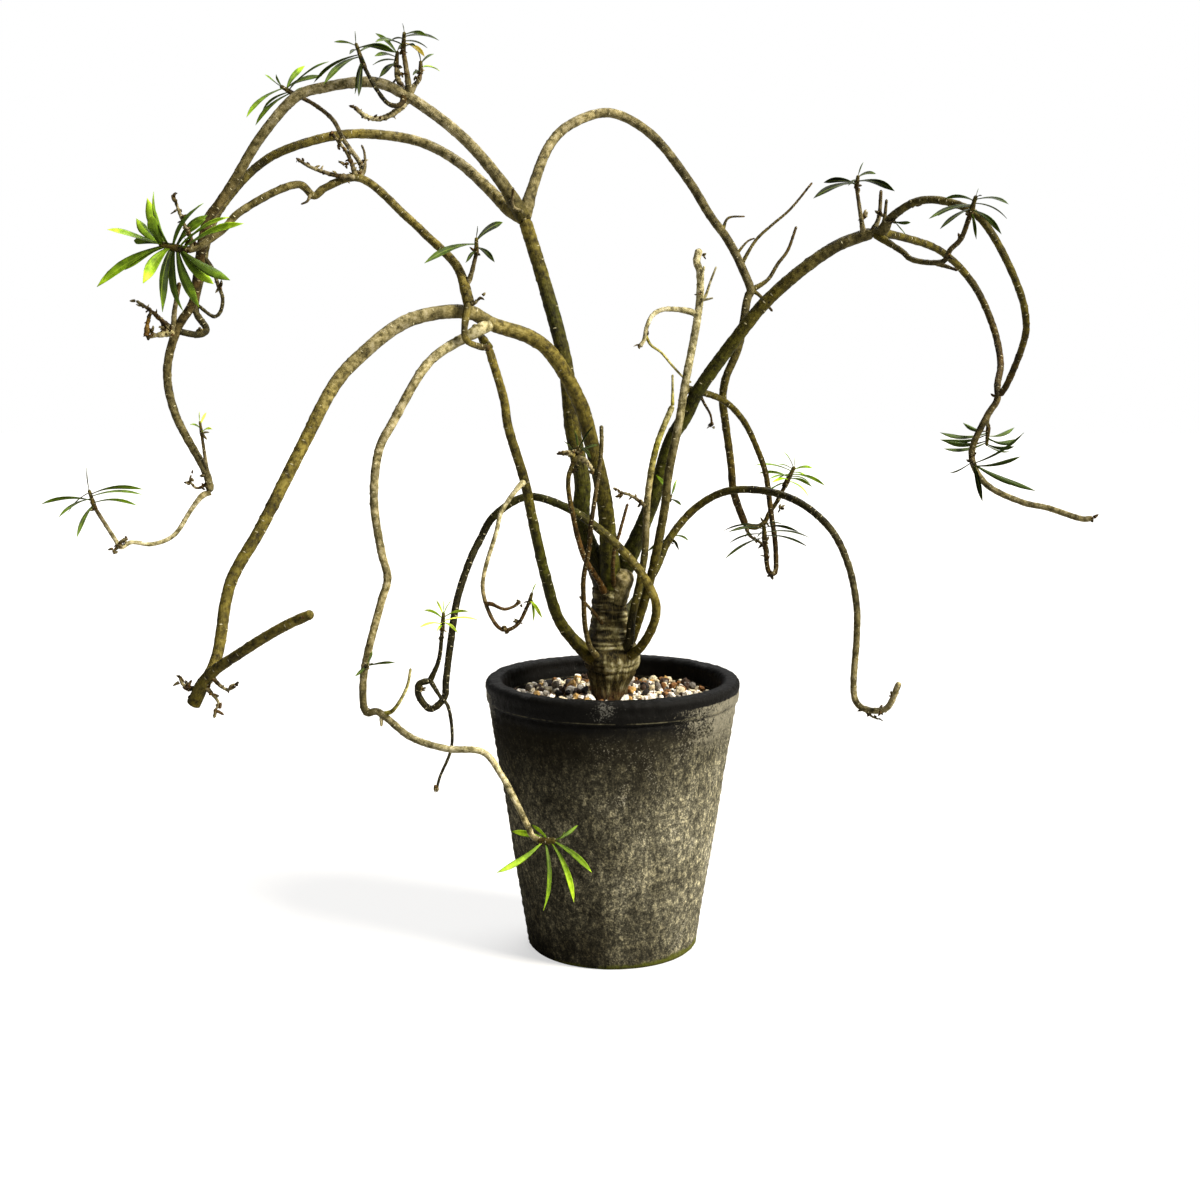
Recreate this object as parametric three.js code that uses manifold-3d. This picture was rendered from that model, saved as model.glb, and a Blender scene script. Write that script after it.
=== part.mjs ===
// A potted sweet tabaiba, Euphorbia balsamifera: a short swollen trunk with long arching stems,
// narrow leaves in tufts at their tips, and a tapered hand-thrown clay pot dressed with pumice.
// Millimetres, +Z up. The origin is on the pot's axis, on the flat underside that it stands on.
import * as THREE from "three";
import { mergeVertices } from "three/addons/utils/BufferGeometryUtils.js";
import Module from "manifold-3d";

// Clear gap between pieces that touch
const GAP = 0.3;

// The pot: a straight taper with a rounded rim band that stands a little proud
const POT_HEIGHT = 195;
const RIM_RADIUS = 90;
const FOOT_RADIUS = 60.6;
const FOOT_CHAMFER = 1.8;
const BAND_HEIGHT = 17;
const BAND_PROUD = 2.4;
const GROOVE_HEIGHT = 1.6;
const LIP_ROUND = 4;
const RIM_INNER_RADIUS = 77.5;
const FLOOR_THICKNESS = 12;
const FLOOR_RADIUS = 52.6;
const RIM_LEAN = 1;
const GROOVE_DEPTH = 0.6;
const BAND_STEP = 1.5;
const POT_SEGMENTS = 40;
const DRAIN_HOLES = 3;
const DRAIN_HOLE_RADIUS = 5.5;
const DRAIN_HOLE_CIRCLE = 26;
const DRAIN_HOLE_SIDES = 12;

// What fills the pot, from the floor up
const NET_RADIUS = 44;
const NET_THICKNESS = 1;
const NET_OPENING = 12;
const NET_PITCH = 18;
const STONES_TOP = 32;
const MIX_TOP = 171;
const DRESSING_TOP = 181;
const GRAIN_RELIEF = 2.4;
const GRAIN_DIP = 0.3;
const GRAIN_UNEVEN = 0.4;
const STEP_SALT = 12.9;
const RING_SALT = 78.2;
const DRESSING_RINGS = 8;
const DRESSING_SEGMENTS = 46;
const FILL_SEGMENTS = 22;

// The trunk and its taproot: [x, y, z, radius], from the root tip up to the crown
const TRUNK = [
  [-1, 0, 62, 3],
  [-2, 1, 90, 6],
  [-1, 0, 130, 9],
  [-2, 0, 168, 11.5],
  [-2, 0, 186, 13],
  [-1.5, 0, 199, 17],
  [-1.5, 0, 209, 20],
  [-2, 0, 219, 17.5],
  [-2.5, 0, 230, 13.5],
  [-2.5, 0, 246, 12],
  [-2.5, 0, 258, 11.5],
  [-2.5, 0, 264, 8],
];
const TRUNK_SIDES = 12;
const TRUNK_STEP = 11;

// How finely the stems are faceted, and the smallest detail of a joint that is kept
const SPECK = 0.08;
const SAMPLE_STEP = 1.5;
const LONGEST_FACET = 30;
const MOST_TURN = 0.36;
const LENGTH_SAMPLES = 30;
const THICK_STEM = 4.5;
const THIN_STEM = 1.8;
const SHOOT_SIDES = 6;
const SHOOT_TAPER = 0.8;

// Colours by bark and leaf
const OLIVE_BARK = 0x6d6a33;
const BARK_COLOURS = {
  ochre_arch: 0x94813c,
  pale_hanger: 0xb3a98c,
  pale_curl: 0xc2b8a0,
  straight_pale: 0xa79b7c,
  left_link: 0xb8ad90,
  front_arch: 0x47412a,
  right_arch: 0x5a5530,
  back_arch: 0x5c563a,
};
const LEAF_GREEN = 0x4f7a2a;
const LEAF_COLOURS = {
  low_front: 0x76b035,
  left_head: 0x5c9230,
  front_tuft: 0x6fa832,
  curl_leaves: 0x8ab83c,
};

// Leaves: narrow blades, widest past the middle, slightly keeled, spread along most of their shoot
const LEAF_WIDTH = 7.2;
const LEAF_WIDTH_SHARE = 0.19;
const LEAF_THICKNESS = 1;
const LEAF_SIDES = 3;
const LEAF_BOW = 0.14;
const LEAF_WIDTHS = [0, 0.9, 0.8, 0.2];
const LEAF_PLACES = [1, 0.72, 0.32, 0];
const STEEP_LEAF = 0.9;
const LOWEST_LEAF = 0.15;
const LEAFY_SHARE = 0.8;

// Stems by node: a main tube and the twigs grown fast to it, each [start radius, end radius, route].
// A route starts on the middle line of the stem that it grows from.
const STEMS = {
  tall_stem: [
    // tall stem
    [6.2, 4.6, [
      [-5, 0, 257], [-7, 0, 265], [-21, 2, 299], [-22, 3, 316], [-21, 4, 330], [-28, 6, 369],
      [-33, 9, 414], [-45, 11, 461], [-55, 12, 494], [-61, 12, 513]
    ]],
  ],
  ochre_arch: [
    // ochre arch
    [5.6, 3.3, [
      [-1, -5, 259], [-6, -15, 322], [-16, -21, 366], [-22, -25, 387], [-42, -36, 422],
      [-55, -41, 432], [-81, -48, 441], [-94, -52, 448], [-132, -66, 443], [-165, -85, 417],
      [-177, -95, 402], [-196, -116, 362], [-217, -145, 315], [-230, -164, 289], [-233, -172, 275],
      [-236, -190, 243], [-247, -202, 219]
    ]],
    // ochre stub
    [3.2, 2.9, [
      [-247, -202, 219], [-238, -206, 235], [-214, -218, 253], [-187, -232, 270], [-169, -241, 279]
    ]],
    // stub dry1
    [1.3, 0.7, [
      [-244, -200, 227], [-252, -205, 231], [-254, -206, 237]
    ]],
    // stub dry2
    [1.2, 0.7, [
      [-236, -207, 237], [-226, -209, 229], [-220, -210, 231]
    ]],
    // stub dry3
    [1.2, 0.6, [
      [-240, -205, 231], [-231, -208, 220], [-234, -209, 216]
    ]],
  ],
  right_main: [
    // right main
    [5.4, 4.0, [
      [3, 3, 258], [8, 5, 271], [28, 8, 319], [41, 7, 362], [51, 4, 379], [58, 1, 394],
      [81, -3, 427], [107, -7, 459], [149, -13, 492], [175, -16, 502]
    ]],
    // upright spur
    [1.6, 1.2, [
      [169, -15, 499], [167, -18, 505], [162, -20, 531]
    ]],
    // node stub1
    [1.6, 1.1, [
      [173, -16, 501], [178, -14, 510], [180, -11, 530]
    ]],
    // node stub2
    [1.4, 1.0, [
      [173, -16, 500], [180, -20, 507], [182, -22, 523]
    ]],
  ],
  left_leaner: [
    // left leaner
    [4.2, 2.7, [
      [-9, -6, 206], [-16, -12, 212], [-36, -23, 237], [-46, -34, 271], [-55, -47, 316],
      [-59, -50, 337], [-70, -52, 375], [-72, -52, 390], [-82, -52, 425]
    ]],
    // leaner top
    [2.4, 1.8, [
      [-82, -52, 425], [-93, -36, 440]
    ]],
  ],
  straight_pale: [
    // straight pale
    [3.3, 2.6, [
      [8, 4, 212], [15, 0, 227], [25, -6, 260], [36, -11, 317], [38, -11, 337], [46, -6, 377],
      [49, -2, 396], [60, 13, 456], [60, 15, 478], [58, 16, 484], [60, 17, 493]
    ]],
    // pale side
    [1.9, 1.3, [
      [58, 12, 448], [53, 10, 450], [34, 2, 451], [27, -1, 447], [23, -4, 439], [21, -6, 430],
      [18, -7, 426]
    ]],
    // pale side thin
    [0.9, 0.8, [
      [22, -5, 434], [26, -4, 427], [33, -2, 422], [41, 4, 413], [49, 12, 405], [55, 17, 401]
    ]],
    // pale fork
    [1.3, 0.8, [
      [60, 14, 467], [63, 11, 481]
    ]],
    // pale fork2
    [1.1, 0.7, [
      [60, 13, 456], [64, 17, 460], [68, 19, 471], [72, 21, 481]
    ]],
    // pale clump
    [1.1, 0.6, [
      [60, 13, 458], [64, 8, 458], [69, 5, 459]
    ]],
    // hidden spur
    [1.1, 1.0, [
      [36, -11, 319], [39, -6, 321]
    ]],
  ],
  yellow_green: [
    // yellow green
    [2.9, 2.0, [
      [2, -8, 211], [11, -14, 221], [13, -15, 237], [22, -14, 284], [24, -12, 324], [30, -10, 358],
      [41, -7, 386]
    ]],
    // green thin
    [1.0, 0.8, [
      [41, -7, 386], [41, -5, 401], [41, -2, 407]
    ]],
    // green dry
    [1.3, 0.8, [
      [24, -12, 316], [12, -18, 325], [3, -20, 328]
    ]],
  ],
  back_arch: [
    // back arch
    [3.1, 2.1, [
      [4, 8, 233], [17, 24, 246], [31, 36, 266], [41, 44, 287], [60, 50, 309], [81, 43, 322],
      [108, 31, 324], [132, 16, 317], [153, 1, 299], [164, -11, 275], [169, -19, 247],
      [169, -22, 229], [168, -28, 184], [174, -30, 178], [188, -35, 179], [196, -41, 199]
    ]],
    // back end dry
    [1.0, 0.6, [
      [174, -30, 178], [179, -31, 173], [184, -32, 171]
    ]],
    // hidden spur2
    [1.1, 1.0, [
      [39, 43, 284], [43, 45, 287]
    ]],
  ],
  front_arch: [
    // front arch
    [3.2, 2.2, [
      [2, -6, 205], [20, -18, 220], [30, -25, 246], [23, -30, 267], [3, -32, 292], [-26, -33, 315],
      [-52, -31, 325], [-63, -30, 324], [-82, -32, 311], [-90, -36, 297], [-96, -41, 285],
      [-105, -49, 258], [-109, -57, 231], [-112, -65, 205], [-113, -68, 194], [-122, -71, 187],
      [-130, -71, 197], [-129, -71, 204], [-122, -70, 206]
    ]],
    // front arch leafy
    [1.5, 1.3, [
      [-122, -70, 206], [-116, -72, 220], [-113, -74, 242]
    ]],
    // front arch drop
    [1.3, 0.9, [
      [-122, -70, 206], [-114, -76, 195], [-110, -78, 191], [-107, -84, 165], [-115, -88, 144],
      [-117, -89, 136]
    ]],
  ],
  thin_front: [
    // thin front
    [1.9, 1.4, [
      [-7, -10, 208], [-12, -18, 214], [-16, -23, 221], [-19, -30, 235], [-20, -38, 254],
      [-20, -44, 271], [-16, -49, 294], [-15, -50, 308], [-13, -49, 321], [-8, -43, 358],
      [-8, -41, 374]
    ]],
  ],
  thin_left: [
    // thin left
    [2.0, 1.5, [
      [-5, -8, 254], [-8, -14, 262], [-14, -24, 273], [-20, -34, 285], [-27, -48, 314],
      [-30, -50, 339], [-25, -48, 353]
    ]],
    // thin left pale
    [1.2, 0.8, [
      [-27, -48, 350], [-20, -51, 352], [-13, -54, 344]
    ]],
    // thin left stub
    [1.0, 0.7, [
      [-29, -49, 346], [-31, -50, 352], [-35, -51, 357]
    ]],
  ],
  upper_left: [
    // upper left
    [4.0, 2.6, [
      [-61, 12, 513], [-77, 10, 538], [-104, 6, 568], [-143, 0, 595], [-160, -3, 601],
      [-192, -9, 597], [-210, -12, 591], [-234, -18, 564], [-252, -22, 535], [-262, -24, 520],
      [-270, -25, 509], [-278, -28, 469], [-281, -28, 455], [-292, -28, 438], [-300, -28, 410],
      [-295, -32, 382], [-273, -39, 340], [-271, -40, 329]
    ]],
    // fork twig
    [1.4, 0.9, [
      [-61, 10, 512], [-62, 8, 517], [-68, 6, 520], [-68, 3, 533]
    ]],
    // leafy top a
    [1.9, 1.5, [
      [-137, 1, 593], [-138, -4, 606], [-140, -6, 621]
    ]],
    // leafy top b
    [1.7, 1.2, [
      [-137, 1, 593], [-134, 4, 600], [-131, 6, 604], [-130, 7, 609]
    ]],
    // dry top c
    [1.8, 1.4, [
      [-139, 1, 593], [-146, 8, 606], [-147, 11, 614]
    ]],
    // leafy top d
    [1.7, 1.3, [
      [-141, 0, 593], [-141, -6, 588], [-144, -9, 585], [-150, -11, 586], [-158, -14, 596],
      [-165, -16, 609]
    ]],
    // dry top e
    [1.3, 0.8, [
      [-138, 2, 592], [-143, 0, 585], [-156, -6, 577], [-165, -9, 578], [-173, -12, 584]
    ]],
    // g1 stub
    [1.8, 1.4, [
      [-295, -28, 432], [-293, -31, 448], [-290, -35, 458], [-287, -38, 468]
    ]],
    // g1 dry1
    [1.7, 1.0, [
      [-296, -28, 437], [-308, -36, 450], [-316, -39, 456]
    ]],
    // g1 dry2
    [1.9, 1.2, [
      [-294, -28, 435], [-306, -38, 433], [-310, -40, 432]
    ]],
    // knob shoot
    [1.4, 1.0, [
      [-272, -39, 336], [-273, -40, 345], [-275, -42, 368]
    ]],
    // knob dry
    [1.0, 0.6, [
      [-272, -39, 335], [-280, -41, 332], [-284, -42, 337], [-283, -42, 341]
    ]],
  ],
  lower_left: [
    // lower left
    [4.0, 2.2, [
      [-61, 12, 513], [-73, 22, 521], [-86, 33, 534], [-108, 49, 554], [-130, 58, 567],
      [-151, 61, 573], [-189, 53, 574], [-228, 33, 561], [-244, 23, 550], [-260, 8, 530],
      [-272, -5, 507], [-279, -11, 473], [-283, -13, 450], [-275, -18, 437], [-279, -21, 434],
      [-292, -28, 436]
    ]],
    // g1 loop
    [1.4, 1.2, [
      [-278, -9, 487], [-271, -12, 478], [-267, -14, 467], [-264, -15, 458], [-266, -15, 449],
      [-270, -15, 446], [-282, -13, 454]
    ]],
  ],
  left_link: [
    // left link
    [1.6, 1.3, [
      [-271, -40, 329], [-276, -42, 327], [-283, -45, 318], [-294, -52, 301], [-307, -58, 296],
      [-319, -65, 298], [-325, -68, 295], [-328, -70, 301], [-339, -74, 322]
    ]],
    // link dry1
    [1.0, 0.6, [
      [-326, -69, 296], [-323, -70, 300], [-319, -71, 301]
    ]],
    // link dry2
    [1.0, 0.6, [
      [-325, -68, 297], [-330, -70, 292]
    ]],
  ],
  right_arch: [
    // right arch
    [3.6, 2.7, [
      [-61, 12, 513], [-57, 23, 530], [-44, 45, 566], [-30, 56, 581], [-2, 70, 591], [27, 79, 578],
      [56, 81, 544], [71, 78, 520], [84, 74, 502], [95, 69, 480], [100, 66, 466], [98, 65, 461],
      [91, 58, 425], [82, 56, 403], [80, 56, 388], [82, 57, 373], [87, 60, 340], [89, 60, 321],
      [98, 58, 296]
    ]],
    // arch shoot
    [1.6, 1.0, [
      [100, 66, 466], [113, 73, 474], [121, 78, 486], [128, 82, 495], [135, 88, 513]
    ]],
    // arch stub
    [1.2, 0.9, [
      [101, 66, 466], [106, 66, 463], [116, 64, 451]
    ]],
    // arch twig1
    [1.1, 0.6, [
      [80, 75, 509], [84, 79, 518], [97, 86, 520]
    ]],
    // arch twig2
    [1.1, 0.6, [
      [89, 71, 491], [99, 78, 502], [104, 80, 504]
    ]],
    // arch twig3
    [1.3, 0.8, [
      [93, 70, 484], [105, 79, 503], [117, 84, 514], [130, 89, 525], [147, 96, 545]
    ]],
    // arch leafy
    [1.8, 1.5, [
      [98, 58, 296], [106, 59, 295], [112, 60, 298], [115, 61, 304], [121, 62, 313], [127, 63, 325]
    ]],
    // arch end dry
    [1.2, 0.9, [
      [98, 58, 296], [101, 55, 289], [109, 48, 284], [110, 43, 283]
    ]],
  ],
  pale_hanger: [
    // pale hanger
    [3.2, 1.9, [
      [-82, -50, 440], [-89, -56, 436], [-113, -65, 422], [-123, -69, 412], [-143, -78, 377],
      [-151, -83, 361], [-154, -92, 329], [-149, -99, 296], [-145, -102, 279], [-149, -106, 264],
      [-160, -115, 216], [-158, -118, 195], [-151, -120, 196], [-129, -127, 181],
      [-106, -133, 175], [-82, -139, 174], [-71, -143, 161], [-55, -151, 132], [-51, -153, 124],
      [-46, -154, 121]
    ]],
    // hanger yellow
    [1.2, 0.9, [
      [-146, -121, 195], [-141, -123, 197], [-131, -127, 213], [-128, -129, 226]
    ]],
    // hanger stub
    [1.1, 0.8, [
      [-148, -121, 195], [-148, -123, 187]
    ]],
    // knee spur
    [1.2, 1.1, [
      [-158, -113, 223], [-157, -118, 225]
    ]],
  ],
  upper_leaner: [
    // upper leaner
    [1.6, 2.7, [
      [-82, -54, 425], [-88, -58, 426], [-96, -67, 431], [-96, -65, 444], [-94, -60, 454]
    ]],
    // upper leaner2
    [2.9, 2.4, [
      [-94, -60, 454], [-102, -49, 477], [-124, -37, 499], [-137, -31, 511], [-170, -21, 537],
      [-192, -23, 530], [-199, -24, 525], [-208, -26, 532], [-246, -38, 513], [-256, -42, 502],
      [-272, -49, 490], [-279, -50, 488]
    ]],
    // node dry1
    [1.7, 1.0, [
      [-170, -21, 537], [-184, -26, 538], [-200, -31, 543], [-208, -34, 548]
    ]],
    // node dry2
    [1.4, 1.1, [
      [-171, -21, 537], [-176, -24, 552], [-186, -26, 565]
    ]],
    // node leafy
    [1.7, 1.4, [
      [-169, -21, 537], [-168, -14, 544], [-182, 0, 564], [-190, 5, 578], [-204, 7, 589],
      [-215, 6, 594]
    ]],
    // node curl
    [1.2, 0.7, [
      [-169, -21, 537], [-166, -18, 542], [-166, -16, 554], [-168, -15, 559]
    ]],
    // node hook
    [1.1, 0.6, [
      [-199, -24, 526], [-201, -26, 525], [-203, -28, 521], [-207, -29, 519]
    ]],
    // leaner shoot
    [1.5, 1.3, [
      [-97, -54, 465], [-94, -55, 469], [-89, -57, 486]
    ]],
    // leaner dry
    [1.1, 0.7, [
      [-94, -60, 452], [-90, -62, 454], [-86, -63, 458]
    ]],
    // head dry
    [1.3, 1.0, [
      [-275, -50, 489], [-275, -54, 497], [-278, -58, 505], [-283, -62, 522]
    ]],
  ],
  right_front: [
    // right front
    [2.7, 2.2, [
      [175, -16, 502], [180, -20, 502], [184, -27, 510], [199, -41, 520], [216, -50, 519],
      [236, -56, 509], [265, -53, 462], [272, -46, 440], [272, -40, 428], [266, -23, 400],
      [263, -18, 393]
    ]],
    // node spur
    [1.1, 1.0, [
      [183, -26, 508], [185, -31, 508]
    ]],
  ],
  right_back: [
    // right back
    [2.7, 2.0, [
      [175, -16, 502], [198, 6, 500], [231, 30, 491], [255, 40, 470], [267, 29, 442],
      [268, 4, 414], [263, -10, 400], [262, -15, 390], [255, -17, 379], [245, -19, 353],
      [254, -21, 334], [279, -24, 321], [297, -27, 317], [320, -31, 310], [326, -32, 311]
    ]],
    // drop spur
    [1.3, 1.2, [
      [258, -16, 385], [258, -6, 374], [259, -5, 370]
    ]],
    // drop spur2
    [1.2, 1.1, [
      [245, -19, 350], [244, -25, 349]
    ]],
  ],
  right_low: [
    // right low
    [2.0, 1.6, [
      [176, -18, 500], [192, -31, 488], [197, -36, 483], [215, -52, 481], [218, -58, 488],
      [223, -64, 494], [227, -72, 509]
    ]],
    // low tail
    [1.4, 0.9, [
      [211, -48, 480], [224, -54, 475]
    ]],
  ],
  right_hook: [
    // right hook
    [2.4, 1.7, [
      [49, -2, 396], [55, 11, 396], [77, 22, 389], [93, 33, 374], [106, 43, 349], [111, 46, 335],
      [115, 47, 309], [119, 45, 280], [118, 41, 263], [114, 39, 264], [110, 35, 287]
    ]],
    // hook twig
    [1.1, 0.7, [
      [60, 14, 395], [64, 18, 387], [69, 20, 378], [70, 21, 371]
    ]],
  ],
  pale_curl: [
    // pale curl
    [1.6, 1.2, [
      [-59, -50, 337], [-62, -57, 335], [-74, -64, 318], [-77, -67, 306], [-86, -75, 269],
      [-77, -79, 245], [-71, -81, 242], [-63, -83, 246], [-55, -85, 261]
    ]],
    // left curl b
    [1.2, 0.9, [
      [-84, -77, 259], [-80, -79, 259], [-72, -81, 256], [-66, -78, 257], [-61, -76, 260]
    ]],
  ],
};

// A pruned limb and two short twigs on the trunk itself, in the same form.
const TRUNK_TWIGS = [
  // pruned limb
  [6.4, 5.4, [
    [2, -3, 250], [6, -6, 262], [9, -9, 273]
  ]],
  // trunk twig
  [1.4, 0.9, [
    [-5, -8, 231], [-12, -18, 242], [-23, -25, 256]
  ]],
  // trunk dry
  [1.6, 1.0, [
    [1, -8, 258], [0, -20, 274], [1, -22, 288], [4, -23, 298], [10, -24, 320]
  ]],
];

// Tufts of leaves: a short shoot of a core radius from seat to top, and the leaf tips, lowest first.
const TUFTS = {
  left_head: {
    core: 2.2, seat: [-279, -50, 488], top: [-296, -53, 492],
    tips: [
      [-235, -78, 503], [-246, -72, 468], [-259, -62, 466], [-244, -78, 507], [-268, -66, 451],
      [-266, -42, 511], [-266, -48, 508], [-285, -39, 449], [-261, -74, 516], [-292, -65, 448],
      [-302, -72, 466], [-292, -75, 523], [-317, -59, 475], [-305, -42, 522], [-334, -64, 464],
      [-331, -63, 467], [-320, -83, 499], [-293, -77, 508], [-313, -41, 509], [-316, -38, 495],
      [-297, -67, 501]
    ],
  },
  left_tip: {
    core: 1.3, seat: [-339, -74, 322], top: [-342, -75, 334],
    tips: [
      [-344, -98, 305], [-306, -92, 325], [-378, -62, 323], [-355, -98, 318], [-315, -47, 328],
      [-303, -87, 335], [-359, -66, 318], [-343, -74, 348]
    ],
  },
  top_tuft_a: {
    core: 1.4, seat: [-140, -6, 621], top: [-139, -7, 633],
    tips: [
      [-130, -22, 621], [-155, -32, 622], [-124, -24, 614], [-126, 14, 626], [-152, 11, 629],
      [-118, 14, 631], [-123, -21, 628], [-140, -8, 638]
    ],
  },
  top_tuft_b: {
    core: 1.3, seat: [-130, 7, 609], top: [-130, 8, 617],
    tips: [
      [-134, -6, 605], [-119, 27, 613], [-122, 19, 623], [-131, -3, 622]
    ],
  },
  top_tuft_c: {
    core: 1.4, seat: [-147, 11, 614], top: [-146, 12, 624],
    tips: [
      [-156, -10, 603], [-165, 27, 617], [-159, -8, 617], [-162, 22, 637], [-144, 22, 630]
    ],
  },
  top_tuft_d: {
    core: 1.4, seat: [-165, -16, 609], top: [-170, -18, 624],
    tips: [
      [-167, -30, 588], [-170, -26, 590], [-162, -33, 609], [-187, -47, 593], [-201, -1, 601],
      [-151, 10, 626], [-172, -33, 614], [-141, -39, 614], [-184, -20, 624], [-170, -19, 631]
    ],
  },
  upper_tuft: {
    core: 1.5, seat: [-215, 6, 594], top: [-225, 5, 600],
    tips: [
      [-208, 22, 601], [-239, -11, 572], [-242, 28, 586], [-190, -5, 614], [-211, 24, 616],
      [-199, 22, 609], [-243, -20, 576], [-229, 14, 609], [-232, -9, 605]
    ],
  },
  leaner_tuft: {
    core: 1.3, seat: [-89, -57, 486], top: [-89, -57, 496],
    tips: [
      [-95, -71, 479], [-76, -77, 479], [-120, -85, 478], [-73, -35, 507], [-88, -57, 503]
    ],
  },
  knob_tuft: {
    core: 1.0, seat: [-275, -42, 368], top: [-276, -42, 377],
    tips: [
      [-265, -54, 372], [-285, -32, 374], [-274, -31, 382], [-276, -42, 383]
    ],
  },
  low_front: {
    core: 1.9, seat: [-46, -154, 121], top: [-36, -156, 122],
    tips: [
      [-72, -177, 108], [-44, -169, 81], [-65, -136, 122], [-52, -145, 129], [-25, -168, 86],
      [-14, -167, 105], [-23, -143, 128], [-31, -161, 129]
    ],
  },
  knee_leaves: {
    core: 1.1, seat: [-157, -118, 225], top: [-156, -124, 227],
    tips: [
      [-163, -131, 221], [-138, -126, 229], [-154, -114, 234]
    ],
  },
  front_tuft: {
    core: 1.3, seat: [-113, -74, 242], top: [-112, -74, 253],
    tips: [
      [-115, -92, 243], [-126, -95, 246], [-101, -93, 242], [-90, -60, 245], [-127, -55, 251],
      [-94, -91, 256], [-118, -62, 259], [-106, -84, 262], [-112, -73, 261]
    ],
  },
  centre_tuft: {
    core: 1.3, seat: [-25, -48, 353], top: [-23, -47, 361],
    tips: [
      [-33, -53, 364], [-10, -42, 361], [-13, -47, 374], [-26, -47, 371], [-34, -40, 353],
      [-15, -59, 353]
    ],
  },
  right_tuft: {
    core: 1.7, seat: [127, 63, 325], top: [134, 64, 339],
    tips: [
      [119, 84, 320], [111, 72, 317], [147, 83, 315], [115, 42, 329], [144, 39, 326],
      [110, 89, 332], [148, 84, 325], [114, 49, 331], [153, 36, 327], [120, 57, 330],
      [145, 78, 330], [103, 46, 341], [150, 86, 336], [121, 57, 341], [125, 56, 350], [134, 64, 347]
    ],
  },
  hook_tuft: {
    core: 1.6, seat: [110, 35, 287], top: [109, 34, 300],
    tips: [
      [115, 50, 274], [80, 20, 276], [138, 10, 286], [86, 57, 283], [144, 50, 288], [103, 22, 291],
      [82, 15, 296], [131, 5, 297], [82, 59, 292], [121, 20, 301]
    ],
  },
  spur_tuft: {
    core: 1.3, seat: [162, -20, 531], top: [163, -20, 539],
    tips: [
      [143, 2, 536], [131, -39, 522], [183, -46, 526], [155, -30, 531], [177, -6, 541],
      [166, -21, 547]
    ],
  },
  low_tuft: {
    core: 1.5, seat: [227, -72, 509], top: [230, -74, 521],
    tips: [
      [229, -83, 493], [241, -99, 495], [205, -87, 499], [211, -49, 510], [197, -91, 505],
      [255, -53, 508], [215, -51, 521], [244, -102, 513], [232, -82, 520], [231, -75, 525]
    ],
  },
  node_leaves: {
    core: 1.0, seat: [185, -31, 508], top: [186, -34, 507],
    tips: [
      [194, -46, 506], [195, -23, 500]
    ],
  },
  drop_tuft_upper: {
    core: 1.3, seat: [259, -5, 370], top: [258, -6, 358],
    tips: [
      [246, 16, 373], [223, -19, 368], [231, 21, 361], [281, 11, 370], [272, -30, 362],
      [284, 13, 362], [233, 14, 360], [226, -17, 357], [272, -27, 359], [275, -2, 354]
    ],
  },
  drop_tuft_lower: {
    core: 1.2, seat: [244, -25, 349], top: [245, -32, 346],
    tips: [
      [232, -12, 340], [248, -43, 323], [270, -59, 370], [284, -41, 330], [271, -55, 334],
      [270, -53, 354]
    ],
  },
  curl_leaves: {
    core: 1.1, seat: [-55, -85, 261], top: [-53, -86, 268],
    tips: [
      [-46, -100, 253], [-53, -76, 247], [-50, -93, 275]
    ],
  },
  hidden_leaves: {
    core: 1.0, seat: [39, -6, 321], top: [41, -2, 324],
    tips: [
      [47, -17, 318], [30, -2, 338], [45, 7, 334]
    ],
  },
  hidden_leaves_low: {
    core: 1.0, seat: [43, 45, 287], top: [45, 46, 290],
    tips: [
      [48, 32, 281], [26, 57, 277], [56, 57, 285]
    ],
  },
};

const wasm = await Module();
wasm.setup();

// A closed three.js geometry as a solid, with its shared vertices merged.
function solidOf(geometry) {
  const bare = geometry.clone().deleteAttribute("normal").deleteAttribute("uv");
  const merged = mergeVertices(bare, 1e-4);
  return new wasm.Manifold(
    new wasm.Mesh({
      numProp: 3,
      vertProperties: merged.attributes.position.array,
      triVerts: new Uint32Array(merged.index.array),
    }),
  );
}

// A solid as a named mesh with its own material.
function meshOf(name, solid, finish) {
  const { vertProperties, numProp, triVerts, numVert } = solid.getMesh();
  const points = new Float32Array(numVert * 3);
  for (let i = 0; i < numVert; i += 1) {
    points.set(vertProperties.subarray(i * numProp, i * numProp + 3), i * 3);
  }
  const geometry = new THREE.BufferGeometry();
  geometry.setAttribute("position", new THREE.BufferAttribute(points, 3));
  geometry.setIndex(new THREE.BufferAttribute(triVerts, 1));
  geometry.computeVertexNormals();
  const mesh = new THREE.Mesh(geometry, new THREE.MeshStandardMaterial({ ...finish, flatShading: true }));
  mesh.name = name;
  return mesh;
}

// The biggest body of a solid, without specks of faces: a scrap that a cut leaves is dropped.
function biggest(solid) {
  return solid.simplify(SPECK).decompose().sort((a, b) => b.volume() - a.volume())[0];
}

// A solid turned about the pot's axis, from [radius, height] points that start and end on it.
function turned(profile, segments) {
  const outline = profile.map(([radius, height]) => new THREE.Vector2(radius, height));
  return solidOf(new THREE.LatheGeometry(outline, segments).rotateX(Math.PI / 2));
}

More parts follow.
